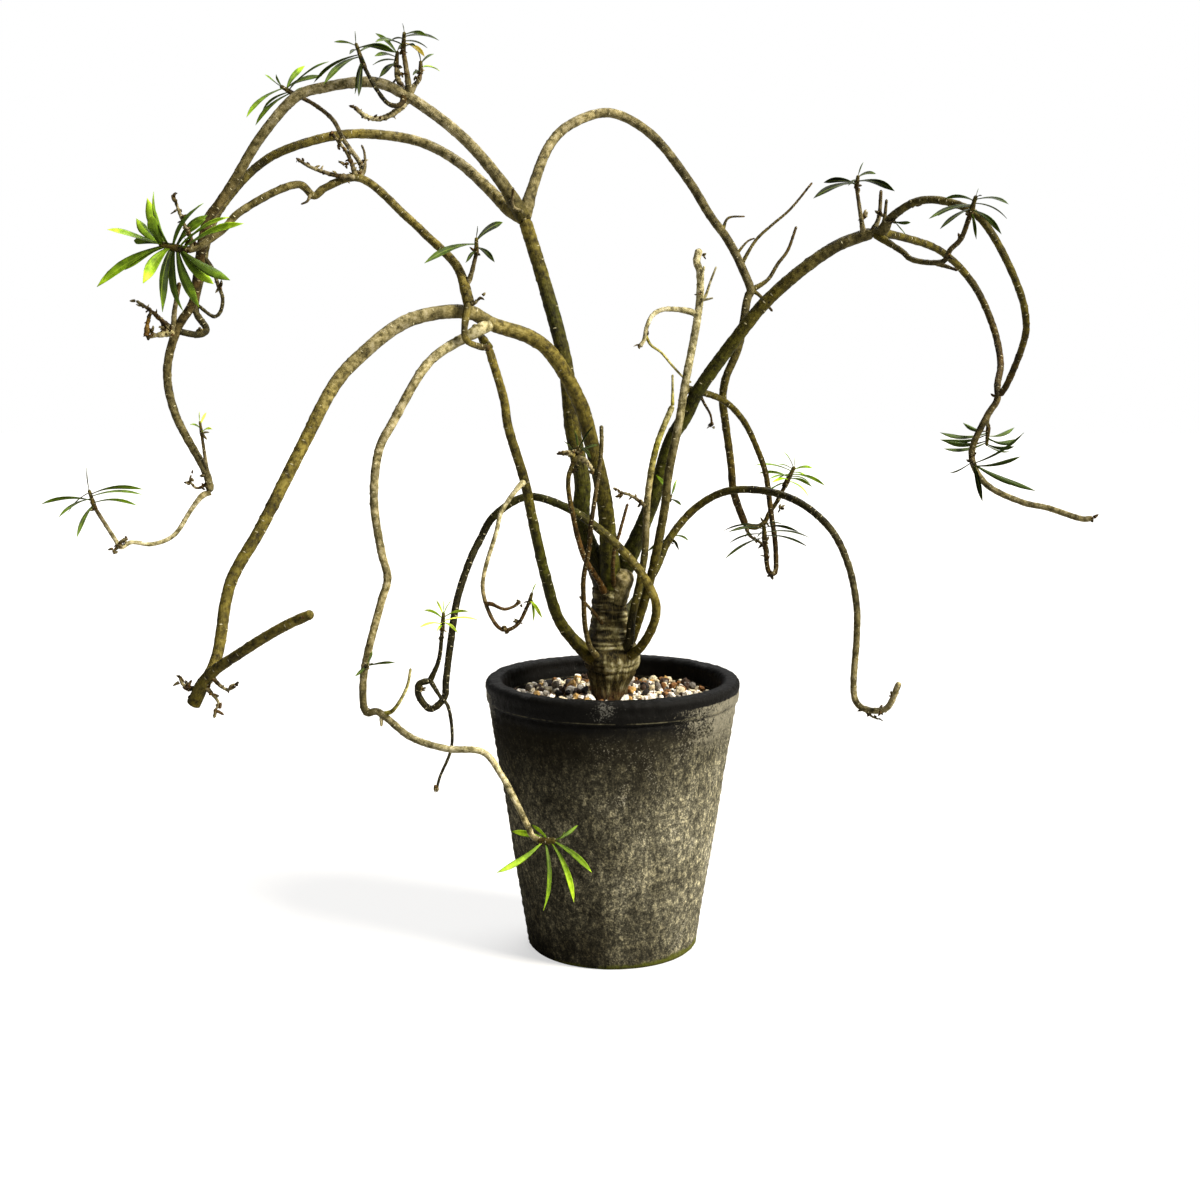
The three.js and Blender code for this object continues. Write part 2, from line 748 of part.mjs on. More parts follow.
// A closed round tube along a smooth route. Rings lie closer where it bends. It has a radius for
// each point or one for each end, and swell makes all of it larger, for a clear seat.
function tube(route, radii, sides, swell = 0, longest = LONGEST_FACET) {
  const points = route.map((p) => new THREE.Vector3(...p));
  const curve = new THREE.CatmullRomCurve3(points, false, "centripetal");
  curve.arcLengthDivisions = LENGTH_SAMPLES * points.length;
  const length = curve.getLength();
  const steps = Math.max(2, Math.round(length / SAMPLE_STEP));
  const { tangents, normals, binormals } = curve.computeFrenetFrames(steps, false);
  const rows = [0];
  for (let i = 1; i < steps; i += 1) {
    const last = rows[rows.length - 1];
    const bends = tangents[last].angleTo(tangents[i]) > MOST_TURN;
    if (bends || ((i - last) * length) / steps > longest) {
      rows.push(i);
    }
  }
  rows.push(steps);
  const geometry = new THREE.CylinderGeometry(1, 1, 1, sides, rows.length - 1);
  const place = geometry.attributes.position;
  for (let v = 0; v < place.count; v += 1) {
    const row = rows[Math.round((0.5 - place.getY(v)) * (rows.length - 1))];
    const at = row / steps;
    const end = row === 0 ? -swell : row === steps ? swell : 0;
    const share = radii.length === points.length ? curve.getUtoTmapping(at) : at;
    const radius = radiusAt(radii, share) + swell;
    const centre = curve.getPointAt(at).addScaledVector(tangents[row], end);
    centre.addScaledVector(normals[row], place.getX(v) * radius);
    centre.addScaledVector(binormals[row], place.getZ(v) * radius);
    place.setXYZ(v, centre.x, centre.y, centre.z);
  }
  return solidOf(geometry);
}

// The radius at a share of the way along a list of evenly spread radii.
function radiusAt(radii, share) {
  const place = share * (radii.length - 1);
  const before = Math.min(Math.floor(place), radii.length - 2);
  return THREE.MathUtils.lerp(radii[before], radii[before + 1], place - before);
}

// Thick stems are rounder than twigs.
function sidesFor(radius) {
  if (radius > THICK_STEM) {
    return 8;
  }
  return radius > THIN_STEM ? 6 : 4;
}

// The pot, with its drain holes.
function makePot() {
  const bandFoot = POT_HEIGHT - BAND_HEIGHT;
  const wallTop = RIM_RADIUS - BAND_PROUD - RIM_LEAN;
  const body = turned(
    [
      [0, 0],
      [FOOT_RADIUS - FOOT_CHAMFER, 0],
      [FOOT_RADIUS, FOOT_CHAMFER],
      [wallTop, bandFoot - GROOVE_HEIGHT],
      [wallTop - GROOVE_DEPTH, bandFoot],
      [RIM_RADIUS - RIM_LEAN, bandFoot + GROOVE_HEIGHT],
      [RIM_RADIUS, POT_HEIGHT - LIP_ROUND],
      [RIM_RADIUS - LIP_ROUND / 3, POT_HEIGHT - LIP_ROUND / 3],
      [RIM_RADIUS - LIP_ROUND, POT_HEIGHT],
      [RIM_INNER_RADIUS + LIP_ROUND, POT_HEIGHT],
      [RIM_INNER_RADIUS + LIP_ROUND / 3, POT_HEIGHT - LIP_ROUND / 3],
      [RIM_INNER_RADIUS, POT_HEIGHT - LIP_ROUND],
      [innerRadius(bandFoot), bandFoot],
      [FLOOR_RADIUS, FLOOR_THICKNESS],
      [0, FLOOR_THICKNESS],
    ],
    POT_SEGMENTS,
  );
  return ringOfHoles().reduce((pot, hole) => pot.subtract(hole), body);
}

// The drain holes, in a ring round a solid centre.
function ringOfHoles() {
  return Array.from({ length: DRAIN_HOLES }, (_, i) => {
    const turn = (i * 2 * Math.PI) / DRAIN_HOLES + Math.PI / 2;
    const [radius, depth] = [DRAIN_HOLE_RADIUS, 4 * FLOOR_THICKNESS];
    const hole = new THREE.CylinderGeometry(radius, radius, depth, DRAIN_HOLE_SIDES);
    hole.rotateX(Math.PI / 2);
    hole.translate(DRAIN_HOLE_CIRCLE * Math.cos(turn), DRAIN_HOLE_CIRCLE * Math.sin(turn), 0);
    return solidOf(hole);
  });
}

// The pot's inner radius at a height: an even taper from the floor up to the foot of the rim band.
function innerRadius(height) {
  const share = (height - FLOOR_THICKNESS) / (POT_HEIGHT - BAND_HEIGHT - FLOOR_THICKNESS);
  return THREE.MathUtils.lerp(FLOOR_RADIUS, RIM_INNER_RADIUS - BAND_STEP, share);
}

// A layer that fills the pot from one height to another, clear of the wall.
function layer(bottom, top) {
  return turned(
    [
      [0, bottom],
      [innerRadius(bottom) - GAP, bottom],
      [innerRadius(top) - GAP, top],
      [0, top],
    ],
    FILL_SEGMENTS,
  );
}

// The round plastic net over the drain holes.
function makeNet() {
  const bottom = FLOOR_THICKNESS + GAP;
  const top = bottom + NET_THICKNESS;
  let net = turned([[0, bottom], [NET_RADIUS, bottom], [NET_RADIUS, top], [0, top]], FILL_SEGMENTS);
  const reach = Math.floor(NET_RADIUS / NET_PITCH);
  for (let i = -reach; i <= reach; i += 1) {
    for (let j = -reach; j <= reach; j += 1) {
      const x = i * NET_PITCH;
      const y = j * NET_PITCH;
      if (Math.hypot(x, y) < NET_RADIUS - NET_OPENING) {
        const opening = new THREE.BoxGeometry(NET_OPENING, NET_OPENING, 4 * NET_THICKNESS);
        net = net.subtract(solidOf(opening.translate(x, y, bottom)));
      }
    }
  }
  return net;
}

// The pumice dressing: grains stand up in relief, each ring's a little different from the next.
function makeDressing() {
  const bottom = MIX_TOP + GAP;
  const outer = innerRadius(DRESSING_TOP) - 3 * GAP;
  const profile = [new THREE.Vector2(0, bottom), new THREE.Vector2(innerRadius(bottom) - GAP, bottom)];
  for (let ring = DRESSING_RINGS; ring >= 0; ring -= 1) {
    profile.push(new THREE.Vector2((outer * ring) / DRESSING_RINGS, DRESSING_TOP));
  }
  const geometry = new THREE.LatheGeometry(profile, DRESSING_SEGMENTS).rotateX(Math.PI / 2);
  const place = geometry.attributes.position;
  for (let v = 0; v < place.count; v += 1) {
    const [x, y, z] = [place.getX(v), place.getY(v), place.getZ(v)];
    const out = Math.hypot(x, y);
    if (z > DRESSING_TOP - GAP && out > 1) {
      const ring = Math.round((out / outer) * DRESSING_RINGS);
      const turn = Math.atan2(y, x) / (2 * Math.PI) + 1;
      const step = Math.round(turn * DRESSING_SEGMENTS) % DRESSING_SEGMENTS;
      const grain = (step + ring) % 2 ? 1 : -GRAIN_DIP;
      const uneven = Math.sin(step * STEP_SALT + ring * RING_SALT);
      place.setZ(v, z + GRAIN_RELIEF * ((1 - GRAIN_UNEVEN) * grain + GRAIN_UNEVEN * uneven));
    }
  }
  return solidOf(geometry);
}

// A leaf from its root on the shoot to its tip, arched away from the shoot's own direction.
function leaf(root, tip, shoot) {
  const along = tip.clone().sub(root);
  const length = along.length();
  const forward = along.clone().normalize();
  const side = sideOf(forward);
  const lift = shoot.clone().projectOnPlane(forward).multiplyScalar(2 * LEAF_BOW * length);
  const middle = root.clone().addScaledVector(along, 0.5).add(lift);
  const curve = new THREE.QuadraticBezierCurve3(root, middle, tip);
  const width = Math.min(LEAF_WIDTH, LEAF_WIDTH_SHARE * length);
  const rows = LEAF_PLACES.length - 1;
  const geometry = new THREE.ConeGeometry(1, 1, LEAF_SIDES, rows);
  const place = geometry.attributes.position;
  for (let v = 0; v < place.count; v += 1) {
    const row = Math.round((0.5 - place.getY(v)) * rows);
    const at = curve.getPoint(LEAF_PLACES[row]);
    const face = side.clone().cross(curve.getTangent(LEAF_PLACES[row]));
    const round = Math.max(row / rows, 1e-6);
    at.addScaledVector(side, (place.getX(v) / round) * LEAF_WIDTHS[row] * width / 2);
    at.addScaledVector(face, row === 0 ? 0 : ((place.getZ(v) / round) * LEAF_THICKNESS) / 2);
    place.setXYZ(v, at.x, at.y, at.z);
  }
  return solidOf(geometry);
}

// A blade lies flat across its direction, and one that hangs straight shows its face to the front.
function sideOf(forward) {
  const steep = Math.abs(forward.z) > STEEP_LEAF;
  const across = new THREE.Vector3(-forward.y, forward.x, 0).normalize();
  return steep ? new THREE.Vector3(1, 0, 0).projectOnPlane(forward).normalize() : across;
}

// A tuft of leaves round a short shoot that sits on the end of its stem.
function makeTuft({ core, seat, top, tips }) {
  const foot = new THREE.Vector3(...seat);
  const head = new THREE.Vector3(...top);
  const shoot = head.clone().sub(foot).normalize();
  const start = foot.clone().addScaledVector(shoot, GAP);
  let tuft = tube([start.toArray(), top], [core, core * SHOOT_TAPER], SHOOT_SIDES);
  tips.forEach((tip, i) => {
    const share = LOWEST_LEAF + (LEAFY_SHARE * i) / (tips.length - 1);
    const root = foot.clone().lerp(head, share);
    tuft = tuft.add(leaf(root, new THREE.Vector3(...tip), shoot));
  });
  return tuft;
}

const model = new THREE.Group();
const seats = new Map();

// Adds a node of tubes, cut clear of the stems that were added before it.
function addStem(name, tubes, finish) {
  const grow = (swell) =>
    tubes
      .map(([start, end, route]) => tube(route, [start, end], sidesFor(start), swell))
      .reduce((whole, part) => whole.add(part));
  addSolid(name, grow(0), grow(GAP), finish);
}

// Cuts a solid clear of the earlier seats, adds it, and keeps its swollen copy as a seat.
function addSolid(name, solid, swollen, finish) {
  let cut = solid;
  for (const seat of seats.values()) {
    if (touches(solid, seat)) {
      cut = cut.subtract(seat);
    }
  }
  seats.set(name, swollen);
  model.add(meshOf(name, biggest(cut), finish));
}

// Whether the boxes of two solids touch.
function touches(a, b) {
  const [p, q] = [a.boundingBox(), b.boundingBox()];
  return p.min.every((low, i) => low <= q.max[i] && q.min[i] <= p.max[i]);
}

// The trunk, its collar and its taproot, with what is left of the limb and twigs grown from it.
const trunkRoute = TRUNK.map(([x, y, z]) => [x, y, z]);
const trunkRadii = TRUNK.map(([, , , radius]) => radius);
const growTrunk = (swell) =>
  TRUNK_TWIGS.map(([start, end, route]) => tube(route, [start, end], sidesFor(start), swell)).reduce(
    (whole, twig) => whole.add(twig),
    tube(trunkRoute, trunkRadii, TRUNK_SIDES, swell, TRUNK_STEP),
  );
const trunk = growTrunk(0);
const trunkSeat = growTrunk(GAP);

model.add(meshOf("pot", makePot(), { color: 0x6b675a, roughness: 0.95 }));
model.add(meshOf("drain_net", makeNet(), { color: 0x2c2f2c, roughness: 0.7 }));
const stones = layer(FLOOR_THICKNESS + NET_THICKNESS + 2 * GAP, STONES_TOP);
model.add(meshOf("drainage_stones", stones, { color: 0xb9a98c, roughness: 0.95 }));
const mix = layer(STONES_TOP + GAP, MIX_TOP).subtract(trunkSeat);
model.add(meshOf("potting_mix", mix, { color: 0x4a3a2b, roughness: 1 }));
const dressing = makeDressing().subtract(trunkSeat);
model.add(meshOf("top_dressing", biggest(dressing), { color: 0xd9cfb8, roughness: 0.95 }));
addSolid("trunk", trunk, trunkSeat, { color: 0x7a7252, roughness: 0.9 });

for (const [name, tubes] of Object.entries(STEMS)) {
  addStem(name, tubes, { color: BARK_COLOURS[name] ?? OLIVE_BARK, roughness: 0.8 });
}
for (const [name, tuft] of Object.entries(TUFTS)) {
  const solid = makeTuft(tuft);
  addSolid(name, solid, solid, { color: LEAF_COLOURS[name] ?? LEAF_GREEN, roughness: 0.5 });
}

export default model;
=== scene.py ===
import math
import random

import bmesh
import bpy
from mathutils import Matrix, Vector, noise


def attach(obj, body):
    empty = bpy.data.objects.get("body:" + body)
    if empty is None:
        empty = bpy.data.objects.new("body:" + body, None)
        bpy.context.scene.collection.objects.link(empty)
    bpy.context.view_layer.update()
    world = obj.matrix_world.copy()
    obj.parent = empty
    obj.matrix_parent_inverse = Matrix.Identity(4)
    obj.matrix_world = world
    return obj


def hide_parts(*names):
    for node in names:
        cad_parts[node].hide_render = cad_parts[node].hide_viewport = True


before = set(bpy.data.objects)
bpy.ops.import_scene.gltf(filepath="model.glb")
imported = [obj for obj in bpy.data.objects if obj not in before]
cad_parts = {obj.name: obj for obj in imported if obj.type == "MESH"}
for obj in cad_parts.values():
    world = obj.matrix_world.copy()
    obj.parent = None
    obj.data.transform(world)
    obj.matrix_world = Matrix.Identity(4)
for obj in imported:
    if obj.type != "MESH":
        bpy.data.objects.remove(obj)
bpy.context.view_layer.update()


# Clay pot
# The real pot is thrown by hand from coarse grey clay and fired in smoke: sooty black round the rim,
# weathered to a mottled, gritty grey below, with a rim band that the thrower's fingers left proud.

MM = 0.001
POT_HEIGHT = 195
RIM_RADIUS = 90
FOOT_RADIUS = 60.6
FOOT_ROUND = 1.8
BAND_HEIGHT = 17
BAND_PROUD = 1.7
GROOVE_HEIGHT = 1.6
LIP_ROUND = 4
RIM_INNER_RADIUS = 77.5
FLOOR_THICKNESS = 12
FLOOR_RADIUS = 52.6
POT_STEPS = 336
POT_GRID = 1.7
THROWING_WAVE = 0.7
THROWING_RINGS = 0.18
GRIT_RELIEF = 0.42
# How closely the wall's waves, its rings' wobbles, its pits and its grit follow each other, per metre,
# and the thrower's rings, in radians per metre.
WAVES, WOBBLES, PITS, GRITS = 16, 30, 95, 260
RINGS = 900
PIT_EDGE, PIT_DEPTH = 0.34, 4
DRAIN_HOLES = 3
DRAIN_HOLE_RADIUS = 5.5
DRAIN_HOLE_CIRCLE = 26
DRILL_SIDES = 20
PLAIN_INSIDE = 165
BAND_FOOT = (POT_HEIGHT - BAND_HEIGHT) * MM
SOOT_PATCH = (0.022, -0.076, 0.124)
RIM_RUB = (-0.006, -0.089, 0.190)
CLOUD_WIDTH = 38
MOTTLE_WIDTH = 13
GRIT_WIDTH = 1.3
FLAKE_WIDTH = 3.4
FLAKE_LENGTH = 5.4
RUN_WIDTH = 14
RUN_LENGTH = 42


def linear(code):
    """A hex sRGB colour as linear red, green, blue and alpha."""
    parts = [int(code[i:i + 2], 16) / 255 for i in (1, 3, 5)]
    return [c / 12.92 if c <= 0.04045 else ((c + 0.055) / 1.055) ** 2.4 for c in parts] + [1]


def add(tree, kind, inputs=(), stops=(), **settings):
    """Adds a shader node: its settings, a ramp's stops, and a value, socket or node on each input."""
    made = tree.nodes.new("ShaderNode" + kind)
    for name, value in settings.items():
        setattr(made, name, value)
    for key, value in dict(inputs).items():
        if isinstance(value, bpy.types.Node):
            value = next(socket for socket in value.outputs if socket.enabled)
        if isinstance(value, bpy.types.NodeSocket):
            tree.links.new(value, made.inputs[key])
        else:
            made.inputs[key].default_value = value
    for i, (place, colour) in enumerate(stops):
        found = made.color_ramp.elements
        stop = found[i] if i < 2 else found.new(place)
        stop.position = place
        stop.color = linear(colour)
    return made


def per_metre(width):
    """A pattern's scale from the width of one of its marks in millimetres."""
    return 1 / (width * MM)


def new_finish(name):
    """A new material, its tree and its shader."""
    finish = bpy.data.materials.new(name)
    finish.use_nodes = True
    return finish, finish.node_tree, finish.node_tree.nodes["Principled BSDF"]


def piece_of(bm, name, finish, slot, *nodes):
    """A finished object from a bmesh, which rides on the root and stands for its CAD nodes."""
    mesh = bpy.data.meshes.new(name)
    bm.to_mesh(mesh)
    bm.free()
    mesh.shade_smooth()
    piece = bpy.data.objects.new(name, mesh)
    bpy.context.scene.collection.objects.link(piece)
    mesh.materials.append(finish)
    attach(piece, "root")
    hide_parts(*nodes)
    return piece


def arc(centre, radius, start, end, count):
    """Points on a profile's rounded corner, from one angle in degrees to another."""
    turns = [math.radians(start + (end - start) * i / count) for i in range(count + 1)]
    return [(centre[0] + radius * math.cos(t), centre[1] + radius * math.sin(t)) for t in turns]


def stretch(start, end, step):
    """Points on a straight stretch of a profile, without its last."""
    count = max(1, round(math.dist(start, end) / step))
    share = [i / count for i in range(count)]
    return [(start[0] + (end[0] - start[0]) * s, start[1] + (end[1] - start[1]) * s) for s in share]


def pot_profile():
    """The pot's outline as radius and height: underside, wall, band, lip, inside and floor."""
    band_foot = POT_HEIGHT - BAND_HEIGHT
    wall_top = (RIM_RADIUS - BAND_PROUD - 1, band_foot - GROOVE_HEIGHT)
    groove = (wall_top[0] - 0.6, band_foot)
    band = (RIM_RADIUS - 1, band_foot + GROOVE_HEIGHT)
    lip_out = (RIM_RADIUS - LIP_ROUND, POT_HEIGHT - LIP_ROUND)
    lip_in = (RIM_INNER_RADIUS + LIP_ROUND, POT_HEIGHT - LIP_ROUND)
    heel = (FOOT_RADIUS, FOOT_ROUND)
    inside = (RIM_INNER_RADIUS - 1.5, band_foot)
    return [
        *stretch((0.01, 0), (FOOT_RADIUS - FOOT_ROUND, 0), 8),
        (FOOT_RADIUS - FOOT_ROUND, 0),
        *stretch(heel, wall_top, POT_GRID),
        *stretch(wall_top, groove, POT_GRID),
        *stretch(groove, band, POT_GRID / 2),
        *stretch(band, (RIM_RADIUS, POT_HEIGHT - LIP_ROUND), POT_GRID),
        *arc(lip_out, LIP_ROUND, 0, 90, 6),
        *stretch((lip_out[0] - 1, POT_HEIGHT), (lip_in[0], POT_HEIGHT), POT_GRID),
        *arc(lip_in, LIP_ROUND, 90, 180, 6),
        *stretch((RIM_INNER_RADIUS, POT_HEIGHT - LIP_ROUND - 1), inside, POT_GRID),
        *stretch(inside, (FLOOR_RADIUS, FLOOR_THICKNESS), 12),
        *stretch((FLOOR_RADIUS, FLOOR_THICKNESS), (0.01, FLOOR_THICKNESS), 10),
        (0.01, FLOOR_THICKNESS),
    ]


def weathered(place, normal):
    """Moves a point of the clay for the thrower's uneven wall, its pits and its grit."""
    low = noise.noise(place * WAVES) * THROWING_WAVE
    rings = THROWING_RINGS * math.sin(place.z * RINGS + 2 * noise.noise(place * WOBBLES))
    grit = noise.noise(place * GRITS) + 0.6 * noise.noise(place * (2 * GRITS))
    pits = -max(0, noise.noise(place * PITS + Vector((7, 3, 1))) - PIT_EDGE) * PIT_DEPTH
    return place + normal * (low + rings + GRIT_RELIEF * (grit + pits)) * MM


def make_pot():
    """Spins the profile into the pot, weathers its outside and drills the drain holes."""
    bm = bmesh.new()
    ring = [bm.verts.new((r * MM, 0, z * MM)) for r, z in pot_profile()]
    sides = [bm.edges.new(pair) for pair in zip(ring, ring[1:])]
    bmesh.ops.spin(bm, geom=ring + sides, cent=(0, 0, 0), axis=(0, 0, 1), dvec=(0, 0, 0),
                   angle=math.tau, steps=POT_STEPS, use_merge=True)
    bmesh.ops.remove_doubles(bm, verts=bm.verts, dist=0.02 * MM)
    bmesh.ops.recalc_face_normals(bm, faces=bm.faces)
    bm.normal_update()
    moved = []
    for v in bm.verts:
        outside = math.hypot(v.co.x, v.co.y) > FOOT_RADIUS * MM * 0.99 or v.co.z > PLAIN_INSIDE * MM
        if outside and v.co.z > FOOT_ROUND * MM * 0.5:
            moved.append((v, weathered(v.co, v.normal)))
    for v, place in moved:
        v.co = place
    for i in range(DRAIN_HOLES):
        turn = math.tau * i / DRAIN_HOLES + math.pi / 2
        centre = Vector((math.cos(turn), math.sin(turn), 0)) * DRAIN_HOLE_CIRCLE * MM
        drill(bm, centre, DRAIN_HOLE_RADIUS * MM)
    return bm


def drill(bm, centre, radius):
    """Cuts a round hole through the pot's floor: the caps go, and a wall joins their rims."""

    def near():
        """The floor's faces round the hole."""
        return [f for f in bm.faces if f.calc_center_median().z < (FLOOR_THICKNESS + 1) * MM
                and (f.calc_center_median().xy - centre.xy).length < 3 * radius]

    for i in range(DRILL_SIDES):
        turn = math.tau * i / DRILL_SIDES
        out = Vector((math.cos(turn), math.sin(turn), 0))
        geom = list(dict.fromkeys(g for f in near() for g in (f, *f.edges, *f.verts)))
        bmesh.ops.bisect_plane(bm, geom=geom, dist=1e-7, plane_co=centre + out * radius, plane_no=out)
    gone = [f for f in near() if (f.calc_center_median().xy - centre.xy).length < radius * 0.999
            and all((v.co.xy - centre.xy).length < radius * 1.02 for v in f.verts)]
    bmesh.ops.delete(bm, geom=gone, context="FACES")
    rims = [e for e in bm.edges if e.is_boundary and (e.verts[0].co.xy - centre.xy).length < radius * 1.1]
    bmesh.ops.bridge_loops(bm, edges=rims)


def smoked_clay():
    """Smoke-fired coarse grey clay, thrown by hand: black satin at the rim, gritty, mottled and chalky
    below."""
    finish, tree, shader = new_finish("smoke_fired_clay")
    place = add(tree, "TexCoord").outputs["Object"]
    apart = add(tree, "SeparateXYZ", {0: place})
    aside, height = apart.outputs["X"], apart.outputs["Z"]
    cloud = add(tree, "TexNoise", {
        "Vector": place, "Scale": per_metre(CLOUD_WIDTH), "Detail": 6, "Roughness": 0.6})
    mottle = add(tree, "TexNoise", {
        "Vector": place, "Scale": per_metre(MOTTLE_WIDTH), "Detail": 8, "Roughness": 0.7})
    grit = add(tree, "TexNoise", {
        "Vector": place, "Scale": per_metre(GRIT_WIDTH), "Detail": 4, "Roughness": 0.72})
    across, upright = per_metre(RUN_WIDTH), per_metre(RUN_LENGTH)
    drawn = add(tree, "Mapping", {0: place, 3: (across, across, upright)})
    run = add(tree, "TexNoise", {"Vector": drawn, "Scale": 1, "Detail": 7, "Roughness": 0.66})
    narrow, tall = per_metre(FLAKE_WIDTH), per_metre(FLAKE_LENGTH)
    upended = add(tree, "Mapping", {0: place, 3: (narrow, narrow, tall)})
    flake = add(tree, "TexNoise", {"Vector": upended, "Scale": 1, "Detail": 5, "Roughness": 0.75})

    def total(*parts):
        """Adds up several amounts, each with its weight."""
        whole = 0
        for amount, weight in parts:
            whole = add(tree, "Math", {0: amount, 1: weight, 2: whole}, operation="MULTIPLY_ADD")
        return whole

    # The wall is chalkier and, as painted light, lighter towards the right, where the key lamp shines; it
    # darkens towards the foot and is palest at half height.
    lamp_side_light = add(tree, "MapRange", {0: aside, 1: -0.07, 2: 0.085, 3: -0.02, 4: 0.2})
    foot = add(tree, "MapRange", {0: height, 1: 0.005, 2: 0.075, 3: -0.13, 4: 0.05})
    top = add(tree, "MapRange", {0: height, 1: 0.095, 2: 0.15, 3: 0, 4: -0.1})
    light = total((lamp_side_light, 1), (foot, 1), (top, 1), (mottle, 0.42), (run, 0.4), (cloud, 0.55))
    share = add(tree, "MapRange", {0: light, 1: 0.4, 2: 1.08, 3: 0, 4: 1})
    body = add(tree, "ValToRGB", {0: share}, stops=[
        (0.0, "#181610"), (0.26, "#403c2f"), (0.5, "#635f4f"), (0.74, "#8c8773"), (1.0, "#c9c4b0")])
    specks = add(tree, "ValToRGB", {0: grit}, stops=[
        (0.37, "#14130f"), (0.5, "#7d7d7b"), (0.63, "#fffdf4")])
    gritty = add(tree, "Mix", {0: 0.6, 6: body, 7: specks}, data_type="RGBA", blend_type="OVERLAY")
    scales = add(tree, "ValToRGB", {0: flake}, stops=[
        (0.36, "#12110d"), (0.5, "#7f7f7d"), (0.64, "#fffcf0")])
    flaky = add(tree, "Mix", {0: 0.75, 6: gritty, 7: scales}, data_type="RGBA", blend_type="OVERLAY")

    # Soot lies under the rim and in one patch, with chalk flecks on it where it was rubbed.
    patch = add(tree, "VectorMath", {0: place, 1: SOOT_PATCH}, operation="DISTANCE")
    rising = add(tree, "MapRange", {0: height, 1: 0.122, 2: 0.168, 3: -0.38, 4: 0.56})
    # Soot is laid heavier on the left, away from the key lamp: partly painted shade.
    shade_side_soot = add(tree, "MapRange", {0: aside, 1: -0.02, 2: 0.085, 3: 0.1, 4: -0.24})
    patched = add(tree, "MapRange", {0: patch, 1: 0.010, 2: 0.040, 3: 0.5, 4: 0})
    sooty = total((rising, 1), (shade_side_soot, 1), (patched, 1), (cloud, 1.3), (mottle, 1.2), (run, 0.5))
    soot = add(tree, "MapRange", {0: sooty, 1: 1.42, 2: 2.0, 3: 0, 4: 0.9})
    black = add(tree, "Mix", {0: soot, 6: flaky, 7: linear("#15120a")}, data_type="RGBA")
    near = add(tree, "MapRange", {0: patch, 1: 0.012, 2: 0.045, 3: 0.05, 4: 0})
    # Chalk is laid a little heavier on the right, towards the key lamp: partly painted light.
    lamp_side_chalk = add(tree, "MapRange", {0: aside, 1: -0.02, 2: 0.08, 3: 0, 4: 0.04})
    chalk = total((near, 1), (lamp_side_chalk, 1), (grit, 0.6), (run, 0.3), (cloud, 0.25))
    chalked = add(tree, "MapRange", {0: chalk, 1: 0.68, 2: 0.75, 3: 0, 4: 0.55})
    chalky = add(tree, "Mix", {0: chalked, 6: black, 7: linear("#aaa491")}, data_type="RGBA")

    # The rim is black from the smoke, inside and out, and worn back to pale grit at its sides.
    outward = add(tree, "VectorMath", {0: place, 1: (1, 1, 0)}, operation="MULTIPLY")
    reach = add(tree, "VectorMath", {0: outward}, operation="LENGTH")
    outside = add(tree, "MapRange", {0: reach, 1: 0.0835, 2: 0.0865, 3: 0, 4: 1})
    up = add(tree, "MapRange", {0: height, 1: BAND_FOOT - 0.015, 2: BAND_FOOT + 0.003, 3: 0, 4: 0.9})
    smoke = total((up, 1), (mottle, 0.9), (cloud, 0.5))
    rim = add(tree, "MapRange", {0: smoke, 1: 0.9, 2: 1.35, 3: 0, 4: 1})
    rimmed = add(tree, "Mix", {0: rim, 6: chalky, 7: linear("#070604")}, data_type="RGBA")
    lip = add(tree, "MapRange", {0: height, 1: 0.1868, 2: 0.189, 3: 0, 4: 1})
    right_wear = add(tree, "MapRange", {0: aside, 1: 0.012, 2: 0.07, 3: -0.24, 4: 0.1})
    left_wear = add(tree, "MapRange", {0: aside, 1: -0.074, 2: -0.087, 3: 0, 4: 0.32})
    wear = total((right_wear, 1), (left_wear, 1), (grit, 0.6), (flake, 0.45), (mottle, 0.3), (lip, -0.4))
    bare = add(tree, "MapRange", {0: wear, 1: 0.67, 2: 0.77, 3: 0, 4: 0.8})
    worn = add(tree, "Math", {0: outside, 1: bare}, operation="MULTIPLY")
    rough_rim = add(tree, "Mix", {0: worn, 6: rimmed, 7: linear("#7c7765")}, data_type="RGBA")
    rub = add(tree, "VectorMath", {0: place, 1: RIM_RUB}, operation="DISTANCE")
    rubbed = add(tree, "MapRange", {0: rub, 1: 0.003, 2: 0.016, 3: 0.14, 4: 0})
    scuff = total((rubbed, 1), (grit, 0.6), (mottle, 0.4))
    scuffed = add(tree, "MapRange", {0: scuff, 1: 0.63, 2: 0.7, 3: 0, 4: 0.35})
    worn_lip = add(tree, "Mix", {0: scuffed, 6: rough_rim, 7: linear("#8c8a80")}, data_type="RGBA")

